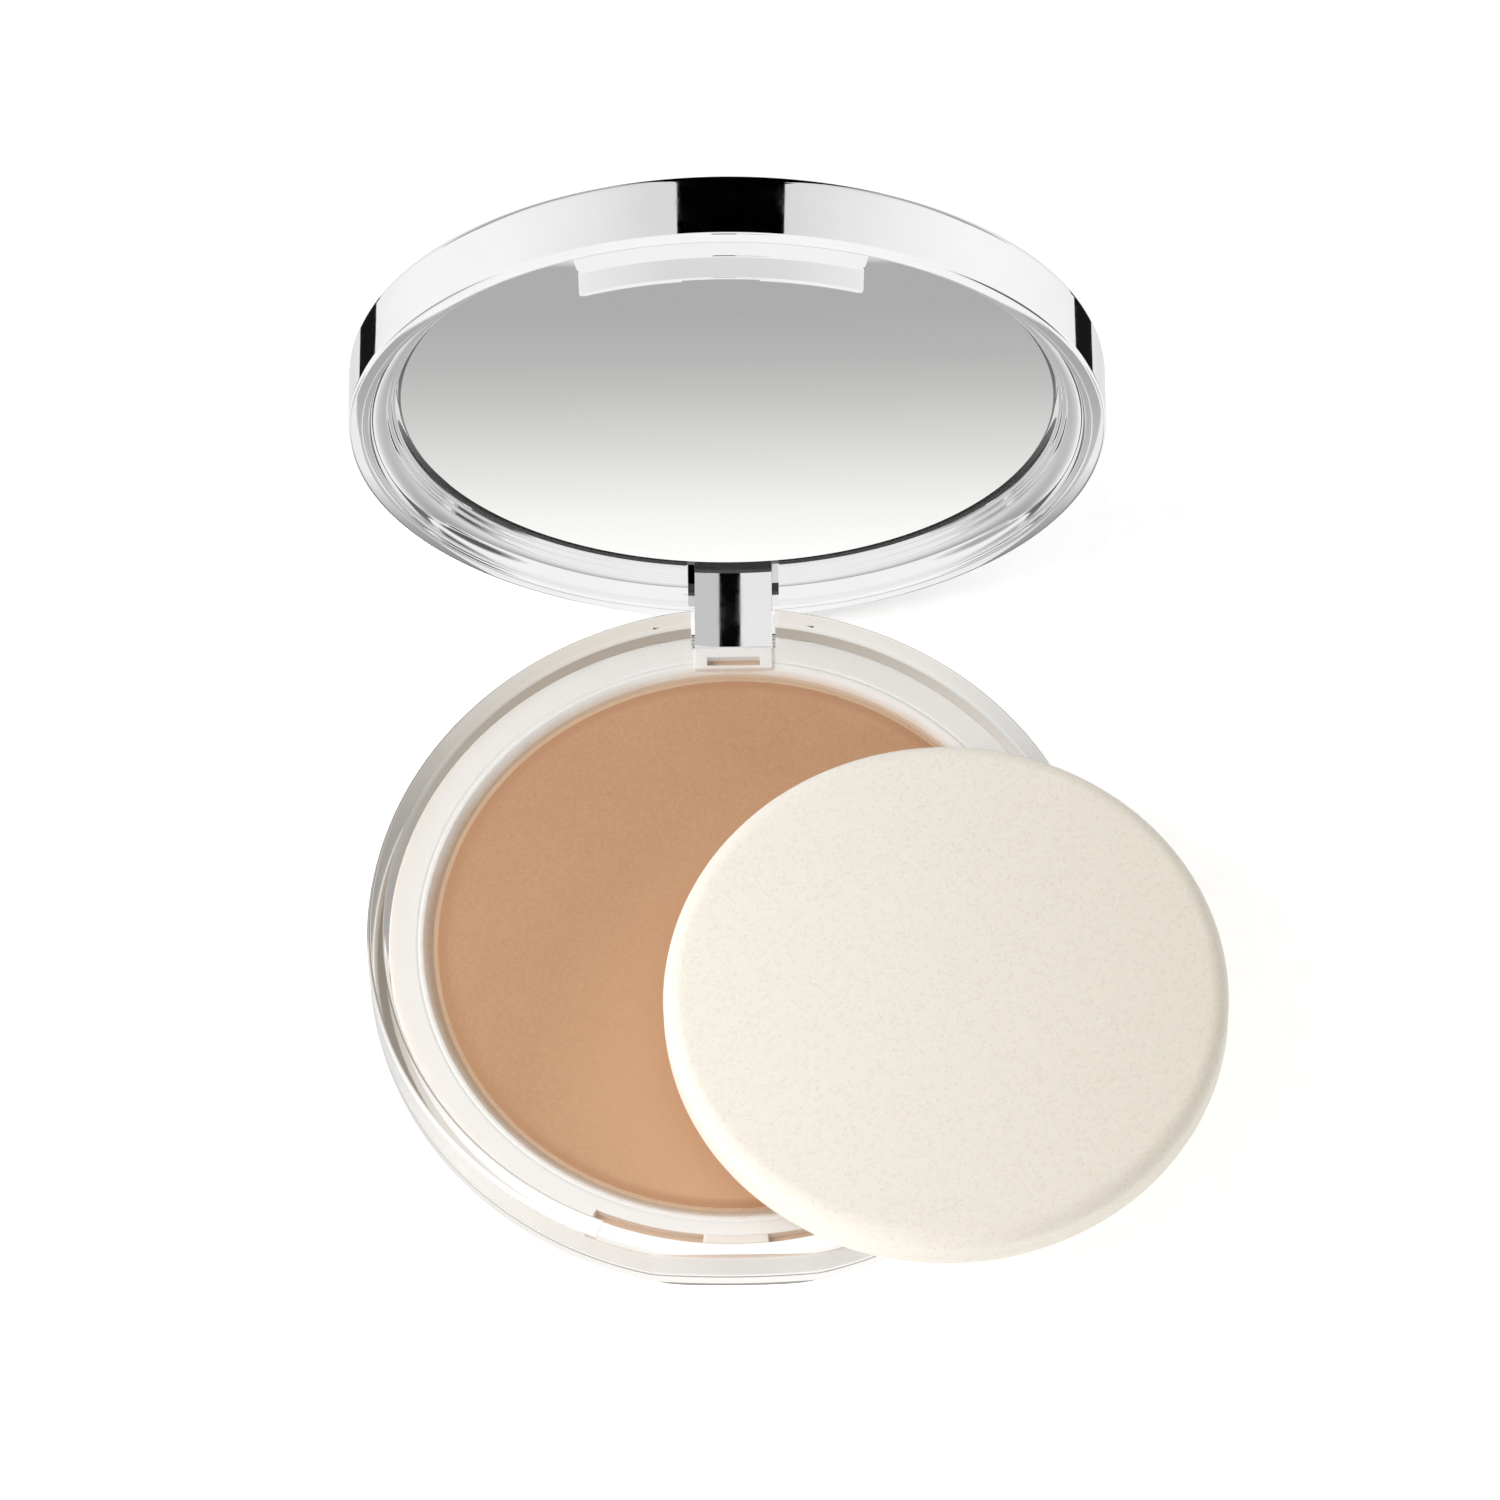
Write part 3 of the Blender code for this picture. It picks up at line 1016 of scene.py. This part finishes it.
@dataclass
class InnerTray:
    """White ring round the powder, with the catch slot, its lug and the hinge window."""

    top: float = 6.0
    outer: float = 34.85
    skin: float = 0.8
    flange: float = 0.65
    foot: float = 1.4
    well: float = 30.3
    chamfer: float = 1.1
    groove: float = 0.12
    slot_inner: float = 33.4
    slot_floor: float = 4.9
    slot_half_angle: float = math.radians(24.6)
    lug_outer: float = 34.3
    lug_half_angle: float = math.radians(5.5)
    window: Point = (2.7, 0.5)
    window_y: float = 31.65
    frame: Point = (4.0, 33.25)
    pocket: Point = (4.3, 33.3)
    relief: Point = (9.0, 33.0)
    edge: float = 0.08
    finish: Finish = WhiteStyrene("white_styrene", "EFECE8", 0.3)

    def build(self) -> list[Piece]:
        """Makes the tray ring.

        Returns:
            The dressed piece.
        """
        top, under, skin = self.top, self.top - self.flange, self.skin
        land = self.well + self.chamfer
        corners = [
            (self.outer, top, 0.2),
            (self.outer, self.foot, 0.1),
            (self.outer - skin, self.foot, 0.1),
            (self.outer - skin, under, 0.1),
            (self.well + skin, under, 0.1),
            (self.well + skin, self.foot, 0.1),
            (self.well, self.foot, 0.1),
            (self.well, top - self.chamfer, 0.25),
            (land, top + 0.02, 0.2),
            (land + 0.35, top + 0.02, 0.1),
            (land + 0.5, top - self.groove, 0.1),
            (land + 0.75, top, 0.15),
        ]
        slot, deep, wide = self.slot_inner, self.slot_floor, self.slot_half_angle
        half, reach = self.window
        low, high = self.window_y - reach, self.window_y + reach
        rim, hinge_side = top + PAST, self.outer + 1.15
        steps = (
            (Join.ADD, sector(slot - skin, self.outer - 0.1, deep - 0.7, top - 0.2, wide + math.radians(2))),
            (Join.CUT, sector(slot, self.outer + PAST, deep, rim, wide)),
            (Join.ADD, sector(slot - 0.4, self.lug_outer, deep - 0.3, top - 0.1, self.lug_half_angle, 0.12)),
            (Join.ADD, block((-self.frame[0], low - 0.35, top - 0.9), (*self.frame, top + 0.25), 0.12)),
            (Join.ADD, block((-half - 0.4, low - 0.4, top - 1.4), (half + 0.4, high + 0.4, top - 0.5))),
            (Join.CUT, block((-half, low, top - 0.85), (half, high, rim))),
            (Join.CUT, block((-self.pocket[0], self.pocket[1], 1.0), (self.pocket[0], hinge_side, rim))),
            (Join.CUT, block((-self.relief[0], self.relief[1], 1.0), (self.relief[0], hinge_side, under))),
        )
        piece = make_object("white_tray", spin_outline(rounded(corners, True, 4), True, 240))
        combine(piece, steps)
        soften(piece, self.edge, 2)
        return [dress(piece, Body.BASE, "white_tray", "pan_frame", self.finish)]


@dataclass
class RefillPan:
    """Drawn aluminium pan with the powder pressed into it and a ring of loose powder."""

    layout: Layout
    wall: float = 0.4
    corner: float = 0.7
    brim: float = 0.03
    dished: Triple = (1.6, 4.0, 0.7)
    loose_inner: float = 29.7
    loose_outer: float = 30.5
    loose_unevenness: float = 0.03
    metal: Finish = DustedPan("drawn_aluminium", "D4D3D0", 0.32, 1.0)
    powder: Finish = PressedPowder("pressed_powder", "C49876", 0.92)
    loose: Finish = PressedPowder(
        "loose_powder",
        "CDAE90",
        0.95,
        dark="C5A384",
        light="D6B99D",
        low_cloud="C9A98A",
        high_cloud="D0B295",
        # Reaches that leave out the painted light round the sponge and the painted edge shade.
        painted_light=(0.5, 1.0),
        edge=(40.0, 41.0),
    )

    def build(self) -> list[Piece]:
        """Makes the pan, its cake and the loose powder.

        Returns:
            The dressed pieces.
        """
        pan, cake = self.layout.pan, self.layout.cake
        low, high, radius = pan.low.z, pan.high.z, pan.radius
        inner = radius - self.wall
        dish = [
            (0.0, low + self.wall, 0.0),
            (inner, low + self.wall, 0.3),
            (inner, high, 0.15),
            (radius, high, 0.15),
            (radius, low, self.corner),
            (0.0, low, 0.0),
        ]
        edge, top = radius - self.brim, high + self.brim
        fall, fillet, rise = self.dished
        body = [
            (0.0, cake.high.z, 0.0),
            (edge - fall, cake.high.z, fillet),
            (edge - rise, top, 1.0),
            (edge, top, 0.1),
            (edge, high - 0.3, 0.0),
            (inner, high - 0.3, 0.0),
            (inner, cake.low.z, 0.1),
            (0.0, cake.low.z, 0.0),
        ]
        fill = [
            (self.loose_outer, high - 0.6, 0.0),
            (self.loose_outer, high + 0.02, 0.15),
            (self.loose_inner, high - 0.03, 0.1),
            (self.loose_inner, high - 0.6, 0.0),
        ]
        crumbs = spin_outline(rounded(fill, True, 3), True, 256)
        for vert in crumbs.verts:
            vert.co.z += self.loose_unevenness * MM * noise.noise(vert.co * 900.0)
        tin = make_object("refill_pan", spin_outline(rounded(dish), False, 192))
        pressed = make_object("pressed_cake", spin_outline(rounded(body), False, 192))
        ring = make_object("loose_powder", crumbs)
        return [
            dress(tin, Body.BASE, "pan_metal", "powder_pan", self.metal),
            dress(pressed, Body.BASE, "powder", "powder_cake", self.powder),
            dress(ring, Body.BASE, "powder", "powder_cake", self.loose),
        ]


@dataclass
class HingePin:
    """Steel pin through both knuckles and the arm, its ends just inside the knuckles."""

    inset: float = 0.9
    edge: float = 0.15
    finish: Finish = DrawnMetal("drawn_steel", "B9B6B1", 0.25, 1.0)

    def build(self) -> list[Piece]:
        """Makes the pin.

        Returns:
            The dressed piece.
        """
        pin = Extent.of("hinge_pin")
        half = pin.high.x - self.inset
        shape = drum((pin.high.z - pin.low.z) / 2, -half, half, 32, pin.centre.yz)
        round_edges(shape, self.edge, 3)
        return [dress(make_object("steel_pin", shape), Body.BASE, "pin_steel", "hinge_pin", self.finish)]


# ---------------------------------------------------------------- lid


@dataclass
class LidCover:
    """Mirror-bright outer cover with a slightly crowned back."""

    layout: Layout
    wall: float = 1.6
    skin: float = 1.2
    edge: float = 1.2
    lip: float = 0.4
    crown: float = 0.25
    crown_from: float = 0.6
    crown_fillet: float = 60.0
    finish: Finish = VacuumMetal("vacuum_metallised_abs", "EDEDEE", 0.03, 1.0)

    def build(self) -> list[Piece]:
        """Makes the cover.

        Returns:
            The dressed piece.
        """
        lid = self.layout.lid
        radius, height = lid.radius, lid.high.y - lid.low.y
        inner = radius - self.wall
        corners = [
            (0.0, height, 0.0),
            (radius * self.crown_from, height - self.crown * 0.3, self.crown_fillet),
            (radius, height - self.crown, self.edge),
            (radius, 0.0, self.lip),
            (inner, 0.0, self.lip),
            (inner, height - self.skin, 0.3),
            (0.0, height - self.skin, 0.0),
        ]
        shape = spin_outline(rounded(corners, False, 6), False, 256)
        piece = make_object("lid_cover", shape, self.layout.lid_place)
        return [dress(piece, Body.LID, "metallised_shell", "lid_shell", self.finish)]


@dataclass
class MirrorBezel:
    """Stepped ring round the mirror with the hinge arm and the catch tab."""

    layout: Layout
    outer: float = 36.0
    plate_front: float = 5.2
    plate_back: float = 6.0
    flange: float = 0.45
    cove_outer: float = 35.75
    cove_floor: float = 2.0
    cove_fillet: float = 1.4
    step: float = 33.95
    step_floor: float = 2.5
    land: float = 33.5
    land_floor: float = 2.95
    seat: float = 33.1
    arm_half: float = 3.95
    arm_slot_half: float = 4.65
    arm_slot_inner: float = 31.5
    arm_face_radius: float = 33.75
    arm_nose: float = 0.35
    arm_edge: float = 0.28
    arm_root: float = -0.2
    barrel: float = 1.65
    bore: float = 0.66
    tab_outer: float = 34.8
    tab_thickness: float = 0.8
    tab_length: float = 2.9
    tab_draft: float = 0.22
    tab_half_angle: float = math.radians(23.6)
    relief_outer: float = 34.4
    relief_half_angle: float = math.radians(6.3)
    finish: Finish = VacuumMetal("metallised_bezel", "E9E9EA", 0.04, 1.0)

    def arm(self) -> Shape:
        """Makes the arm from its side view: distance from the lid's centre across, depth up.

        Returns:
            A closed mesh in the lid's own frame.
        """
        y, z = self.layout.lid_hinge
        inner, outer, end = y - self.barrel - 0.15, y + self.barrel, z - self.barrel
        top, back = self.plate_front + 0.4, y + 0.35
        corners = [
            (inner, top, 0.0),
            (inner, end, self.arm_nose),
            (outer, end, self.barrel - 0.02),
            (outer, self.arm_root, 0.1),
            (back, self.arm_root, 0.0),
            (back, top, 0.0),
        ]
        shape, side = bmesh.new(), -self.arm_half * MM
        verts = [shape.verts.new((side, p.x * MM, p.y * MM)) for p in rounded(corners, True, 8)]
        made = bmesh.ops.extrude_face_region(shape, geom=[shape.faces.new(verts)])
        moved = [g for g in made["geom"] if isinstance(g, bmesh.types.BMVert)]
        bmesh.ops.translate(shape, vec=(-2 * side, 0, 0), verts=moved)
        bmesh.ops.recalc_face_normals(shape, faces=shape.faces)
        return shape

    def tab(self, inner: float) -> Shape:
        """Makes the catch tab, drafted toward its tip and blended into the rim.

        Args:
            inner: Radius of its inner face.

        Returns:
            A closed mesh in the lid's own frame.
        """
        tip = -self.tab_length
        corners = [
            (inner, 3.0, 0.0),
            (inner, tip, 0.12),
            (self.tab_outer - self.tab_draft, tip, 0.15),
            (self.tab_outer, -0.45, 0.4),
            (self.outer + 0.15, 0.2, 0.0),
            (self.outer - 0.2, 3.0, 0.0),
        ]
        half = self.tab_half_angle
        shape = spin_outline(rounded(corners, True, 4), True, 48, 2 * half, FRONT - half)
        round_edges(shape, 0.1, 2, 60.0)
        return shape

    def build(self) -> list[Piece]:
        """Makes the bezel and its arm.

        Returns:
            Both dressed pieces.
        """
        corners = [
            (0.0, self.plate_back, 0.0),
            (self.outer, self.plate_back, 0.2),
            (self.outer, 1.0, 0.0),
            (self.outer + 0.3, self.flange, 0.0),
            (self.cove_outer, self.flange, 0.1),
            (self.cove_outer - 0.05, self.cove_floor, self.cove_fillet),
            (self.step, self.cove_floor, 0.12),
            (self.step - 0.05, self.step_floor, 0.1),
            (self.land, self.step_floor, 0.1),
            (self.land - 0.05, self.land_floor, 0.1),
            (self.seat, self.land_floor, 0.1),
            (self.seat, self.plate_front, 0.1),
            (0.0, self.plate_front, 0.0),
        ]
        place, front = self.layout.lid_place, self.plate_front
        wide, inner = self.arm_slot_half, self.tab_outer - self.tab_thickness
        slot = block((-wide, self.arm_slot_inner, -PAST), (wide, self.outer + PAST, front))
        tip = -self.tab_length - PAST
        relief = sector(inner - 0.5, self.relief_outer, tip, -0.4, self.relief_half_angle)
        ring = make_object("mirror_bezel", spin_outline(rounded(corners, False, 4), False, 256), place)
        combine(ring, ((Join.CUT, slot), (Join.ADD, self.tab(inner)), (Join.CUT, relief)), place)
        arm = make_object("hinge_arm", self.arm(), place)
        face = drum(self.arm_face_radius, -8 * PAST, front + 3 * PAST, 256)
        reach = self.arm_half + 2 * PAST
        bore = drum(self.bore, -reach, reach, BORE_FACETS, self.layout.lid_hinge)
        combine(arm, ((Join.CUT, face), (Join.CUT, bore)), place)
        soften(arm, self.arm_edge, 3)
        bodies = (ring, arm)
        return [dress(p, Body.LID, "metallised_bezel", "mirror_frame", self.finish) for p in bodies]


@dataclass
class LookingGlass:
    """Round mirror with a seamed edge."""

    layout: Layout
    seam: float = 0.25
    face: Finish = SilveredGlass("silvered_glass", "F3F3F2", 0.0, 1.0)
    # Fine grey-green grit that the grinding belt leaves on the glass.
    edge: Finish = CloudedSurface(
        "ground_glass_edge", "4C524F", 0.4, size=0.15, shades=("4E5451", "6C726F"), depth=0.004
    )

    def build(self) -> list[Piece]:
        """Makes the mirror.

        Returns:
            The dressed piece.
        """
        mirror, lid = self.layout.mirror, self.layout.lid
        front, back = mirror.low.y - lid.low.y, mirror.high.y - lid.low.y
        radius = mirror.radius
        corners = [
            (0.0, back, 0.0),
            (radius, back, 0.0),
            (radius, front + self.seam, 0.0),
            (radius - self.seam, front, 0.0),
            (0.0, front, 0.0),
        ]
        shape = spin_outline(rounded(corners), False, 256)
        piece = make_object("looking_glass", shape, self.layout.lid_place)
        dress(piece, Body.LID, "mirror_glass", "mirror", self.face, self.edge)
        for polygon in piece.data.polygons:
            polygon.material_index = 0 if abs(polygon.normal.y) > 0.95 else 1
        return [piece]


@dataclass
class GluePad:
    """Adhesive pad: rubbery, slightly cloudy acrylic film with a soft edge."""

    node: str
    name: str
    body: Body
    turn: float = 0.0
    finish: Finish = CloudedSurface(
        "acrylic_glue_film", "D3CDBC", 0.6, size=1.5, shades=("C9C3B0", "DDD8C8"), depth=0.02, strength=0.6
    )

    def build(self) -> list[Piece]:
        """Makes the pad.

        Returns:
            The dressed piece.
        """
        box = Extent.of(self.node)
        size = box.high - box.low
        half = min(size) / 2
        shape = drum(box.radius, -half, half, 96)
        round_edges(shape, half * 0.6, 2)
        turn = Matrix.Rotation(self.turn, 4, "X")
        piece = make_object(self.name, shape, Matrix.Translation(box.centre * MM) @ turn)
        return [dress(piece, self.body, "adhesive", self.node, self.finish)]


# ---------------------------------------------------------------- sponge


@dataclass
class Applicator:
    """Round foam sponge: flat faces, ground edge, slightly uneven as cut foam is."""

    layout: Layout
    edge: float = 1.9
    rings: int = 28
    unevenness: float = 0.07
    finish: Finish = LatexFoam("latex_foam", "F9F2E7", 0.95)

    def build(self) -> list[Piece]:
        """Makes the sponge.

        Returns:
            The dressed piece.
        """
        box = self.layout.sponge
        half, radius = (box.high.z - box.low.z) / 2, box.radius
        top = [(radius * i / self.rings, half, 0.0) for i in range(self.rings - 2)]
        under = [(u, -v, w) for u, v, w in reversed(top)]
        corners = [*top, (radius, half, self.edge), (radius, -half, self.edge), *under]
        shape = spin_outline(rounded(corners, False, 10), False, 200)
        bmesh.ops.translate(shape, vec=box.centre * MM, verts=shape.verts)
        shape.normal_update()
        for vert in shape.verts:
            wave = noise.noise(vert.co * 90.0) * 0.6 + noise.noise(vert.co * 400.0) * 0.4
            vert.co -= vert.normal * (self.unevenness * MM * (0.5 + 0.5 * wave))
        piece = make_object("foam_sponge", shape)
        dress(piece, Body.SPONGE, "foam", "sponge", self.finish)
        return [piece]


# ---------------------------------------------------------------- studio


@dataclass(frozen=True)
class Glow:
    """Light of a reflection card or table ring, graded across the way it is turned to."""

    name: str
    strength: float = 1.0
    stops: Stops = ()
    ends: Point = (0.0, 1.0)
    turn: float = 0.0

    def build(self) -> bpy.types.Material:
        """Makes the material.

        Returns:
            An emission material.
        """
        material = bpy.data.materials.new(self.name)
        material.use_nodes = True
        graph = Graph(material.node_tree)
        colour = "FFFFFF"
        graph.tree.nodes.remove(graph.tree.nodes[SHADER])
        if self.stops:
            place = graph.add("TexCoord", out="Object")
            turned = graph.add("Mapping", {0: place, 2: (0.0, 0.0, math.radians(self.turn))})
            across = graph.add("SeparateXYZ", (turned,), 1)
            share = graph.add("MapRange", (across, *metres(self.ends), 0.0, 1.0))
            colour = graph.add("ValToRGB", (share,), stops=self.stops)
        graph.feed("Material Output", {"Surface": graph.add("Emission", (colour, self.strength))})
        return material


@dataclass(frozen=True)
class Flag:
    """A card that only reflections see; its glow may run from its low to its high edge."""

    name: str
    centre: Triple
    size: Point
    aim: Triple
    glow: float = 0.0
    stops: Stops = ()

    def build(self) -> Piece:
        """Makes the card, turned to its aim.

        Returns:
            The card.
        """
        shape = bmesh.new()
        centre = Vector(self.centre)
        bmesh.ops.create_grid(shape, x_segments=1, y_segments=1, size=0.5)
        bmesh.ops.scale(shape, vec=(*metres(self.size), 1), verts=shape.verts)
        look = (Vector(self.aim) - centre).to_track_quat("Z", "Y").to_matrix().to_4x4()
        piece = make_object(self.name, shape, Matrix.Translation(centre * MM) @ look)
        ends = (centre.y - self.size[1] / 2, centre.y + self.size[1] / 2)
        piece.data.materials.append(Glow(self.name, self.glow, self.stops, ends).build())
        return show_only(piece, Sight.REFLECTED)


@dataclass(frozen=True)
class Ring:
    """A flat glowing ring round the base that only some rays see."""

    name: str
    radii: Point
    height: float
    turn: float
    across: Point
    stops: Stops
    sight: Sight

    def build(self) -> Piece:
        """Makes the ring.

        Returns:
            The ring.
        """
        shape = spin_outline([Vector((radius, 0.0)) for radius in self.radii], False, 96)
        piece = make_object(self.name, shape, Matrix.Translation((0, 0, self.height * MM)))
        piece.data.materials.append(Glow(self.name, 1.0, self.stops, self.across, self.turn).build())
        return show_only(piece, self.sight)


@dataclass(frozen=True)
class DarkSpot:
    """A round dark patch in the surround, by direction and angles in degrees."""

    toward: Triple
    inner: float
    outer: float
    glow: float


def show_only(piece: Piece, sight: Sight) -> Piece:
    """Shows a stage piece to one kind of ray and hides it from all others.

    Args:
        piece: Card or ring.
        sight: Kind of ray.

    Returns:
        The same piece.
    """
    for kind in ("camera", "diffuse", "glossy", "transmission", "volume_scatter", "shadow"):
        setattr(piece, "visible_" + kind, kind == sight.value)
    return piece


MIRROR_CENTRE = (0.0, 43.0, 77.0)
CAMERA_SIDE_AIM = (0.0, 40.0, 10.0)
# Greys of the graded floor card that only reflections see: painted reflection, darker near the base.
GREYS_ACROSS_REFLECTED_CARD = (
    (0.023, "FFFFFF"),
    (0.06, "ACACAC"),
    (0.182, "ACACAC"),
    (0.318, "B6B6B6"),
    (0.418, "C3C3C2"),
    (0.568, "DADAD8"),
    (0.745, "F4F4F2"),
    (0.864, "FFFFFE"),
)
# Cards that only reflections see; the floor cards are painted reflection, dark or graded where the table is
# white.
FLAGS = (
    Flag("black_flag_above", (21.0, 365.0, 475.0), (262.0, 240.0), MIRROR_CENTRE),
    Flag("black_flag_behind", (21.0, 560.0, 150.0), (262.0, 640.0), MIRROR_CENTRE),
    Flag("grey_flag_horizon", (0.0, 640.0, 20.0), (1500.0, 260.0), MIRROR_CENTRE, 0.45),
    Flag("black_strip_behind_camera", (5.0, -640.0, 1200.0), (150.0, 500.0), CAMERA_SIDE_AIM),
    Flag("grey_strip_behind_camera", (180.0, -640.0, 1200.0), (200.0, 500.0), CAMERA_SIDE_AIM, 0.75),
    Flag("dark_floor_left", (-79.0, 81.0, -0.5), (26.0, 34.0), (-79.0, 81.0, 90.0), 0.01),
    Flag("dark_floor_right", (79.0, 81.0, -0.5), (26.0, 34.0), (79.0, 81.0, 90.0), 0.01),
    Flag("graded_floor", (0.0, 22.0, -1.0), (160.0, 44.0), (0.0, 22.0, 90.0), 1.12, GREYS_ACROSS_REFLECTED_CARD),
)
# Painted shade that only refracted rays see: greys on rings at the table, which the clear wall and its edges
# show darker than the white table.
SEEN_THROUGH = ((0.25, "FFFDFA"), (0.8, "C8BFB4"))
EDGE_GREYS = ((0.0, "7A756E"), (1.0, "A59E95"))
FOOT_GREYS = ((0.0, "8C867E"), (1.0, "A59E95"))
# Painted reflection: greys on a ring round the base that only the chrome's reflections see, where the table
# itself is white.
PAINTED_REFLECTION_GREYS = ((0.0, "FFFFFF"), (0.15, "B4B4B4"), (0.4, "707070"), (0.7, "7C7C7C"), (1.0, "C0C0C0"))
RINGS = (
    Ring("seen_through_wall", (33.5, 70.0), 0.06, -35.0, (-45.0, 45.0), SEEN_THROUGH, Sight.REFRACTED),
    Ring("edge_line", (31.4, 33.45), 0.08, 0.0, (-40.0, 40.0), EDGE_GREYS, Sight.REFRACTED),
    Ring("foot_line", (35.4, 36.1), 0.08, 0.0, (-40.0, 40.0), FOOT_GREYS, Sight.REFRACTED),
    Ring("dark_table_ring", (41.4, 64.0), -0.5, 0.0, (20.0, 64.0), PAINTED_REFLECTION_GREYS, Sight.REFLECTED),
)
DARK_SPOTS = (
    DarkSpot((0.82, -0.42, -0.12), 14.0, 24.0, 0.12),
    DarkSpot((-0.82, -0.42, -0.12), 12.0, 24.0, 0.45),
)


@dataclass
class Studio:
    """Paper sweep, soft light, reflection cards and the camera."""

    distance: float = 1071.3
    elevation: float = 61.35
    azimuth: float = 1.49
    roll: float = -1.99
    target: Triple = (2.2, 0.0, 45.2)
    lens: float = 263.5
    surround: Point = (0.8, 0.5)
    reflected: float = 1.1
    softbox_centre: Triple = (-250.0, -60.0, 260.0)
    softbox_aim: Triple = (5.0, 0.0, 10.0)
    softbox_size: float = 180.0
    softbox_watts: float = 0.72
    # Matt white paper lit from below as well, so that it stays white under the object.
    paper: Finish = CloudedSurface(
        "white_paper", "F7F7F6", 0.9, size=3.0, shades=("F7F7F6", "FFFFFF"), glow=0.4
    )

    def softbox(self) -> None:
        """Adds the square softbox at the left."""
        data = bpy.data.lights.new("key_softbox", "AREA")
        data.size = self.softbox_size * MM
        data.energy = self.softbox_watts
        lamp = bpy.data.objects.new("key_softbox", data)
        bpy.context.scene.collection.objects.link(lamp)
        lamp.visible_glossy = False
        centre = Vector(self.softbox_centre)
        lamp.location = centre * MM
        lamp.rotation_euler = (Vector(self.softbox_aim) - centre).to_track_quat("-Z", "Y").to_euler()

    def world(self) -> None:
        """Makes the white surround: on matt surfaces it leans from left to right, and in
        reflections it is brighter, dimmer behind the middle and has the dark spots."""
        world = bpy.data.worlds.new("soft_surround")
        world.use_nodes = True
        graph = Graph(world.node_tree)
        way = graph.add("TexCoord", out="Generated")
        right, back = graph.add("SeparateXYZ", (way,)).node.outputs[:2]
        aside = graph.add("Math", (right,), operation="ABSOLUTE")
        middle = graph.add("MapRange", (aside, 0.3, 0.85, 0.28, 0.0))
        behind = graph.add("MapRange", (back, 0.1, 0.4, 0.0, 1.0))
        dim = graph.add("Math", (middle, behind), operation="MULTIPLY")
        bright = graph.add("Math", (self.reflected, dim), operation="SUBTRACT")
        for spot in DARK_SPOTS:
            toward = tuple(Vector(spot.toward).normalized())
            facing = graph.add("VectorMath", (way, toward), 1, operation="DOT_PRODUCT")
            ends = (math.cos(math.radians(angle)) for angle in (spot.outer, spot.inner))
            keep = graph.add("MapRange", (facing, *ends, 1.0, spot.glow))
            bright = graph.add("Math", (bright, keep), operation="MULTIPLY")
        leaning = graph.add("MapRange", (right, -1.0, 1.0, *self.surround))
        glossy = graph.add("LightPath", out="Is Glossy Ray")
        strength = graph.add("Mix", {0: glossy, 2: leaning, 3: bright}, data_type="FLOAT")
        graph.feed("Background", {"Color": "FFFFFF", "Strength": strength})
        bpy.context.scene.world = world

    def floor(self) -> None:
        """Lays white paper under the object."""
        shape = bmesh.new()
        bmesh.ops.create_grid(shape, x_segments=1, y_segments=1, size=4.0)
        piece = make_object("paper_floor", shape)
        piece.data.materials.append(self.paper.build())
        piece.visible_glossy = False

    def camera(self) -> None:
        """Sets a long-lens camera above the front of the compact."""
        rise, swing = math.radians(self.elevation), math.radians(self.azimuth)
        back = Vector((math.sin(swing) * math.cos(rise), -math.cos(swing) * math.cos(rise), math.sin(rise)))
        data = bpy.data.cameras.new("product_camera")
        data.lens = self.lens
        data.sensor_width = 36.0
        data.clip_start = 0.05
        data.clip_end = 50.0
        camera = bpy.data.objects.new("product_camera", data)
        bpy.context.scene.collection.objects.link(camera)
        turn = (-back).to_track_quat("-Z", "Y").to_matrix().to_4x4()
        tilt = Matrix.Rotation(math.radians(self.roll), 4, "Z")
        place = Matrix.Translation((Vector(self.target) + back * self.distance) * MM)
        camera.matrix_world = place @ turn @ tilt
        bpy.context.scene.camera = camera

    def build(self) -> None:
        """Sets the whole stage."""
        bpy.context.scene.view_settings.view_transform = "Standard"
        self.world()
        self.floor()
        self.camera()
        self.softbox()
        for card in (*FLAGS, *RINGS):
            card.build()


def main() -> None:
    """Builds every piece round the frame, then the stage."""
    logging.basicConfig(level=logging.INFO, format="%(name)s: %(message)s")
    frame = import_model()
    layout = Layout.read(frame)
    assemblies = (
        BaseShell(layout),
        InnerTray(),
        RefillPan(layout),
        HingePin(),
        LidCover(layout),
        MirrorBezel(layout),
        LookingGlass(layout),
        GluePad("pan_adhesive", "pan_glue", Body.BASE),
        GluePad("mirror_adhesive", "mirror_glue", Body.LID, -math.pi / 2),
        Applicator(layout),
    )
    for assembly in assemblies:
        for piece in assembly.build():
            piece.visible_glossy = piece.name in SEEN_IN_MIRROR
            LOG.info("%s: %d faces", piece.name, len(piece.data.polygons))
    Studio().build()


if __name__ == "__main__":
    main()
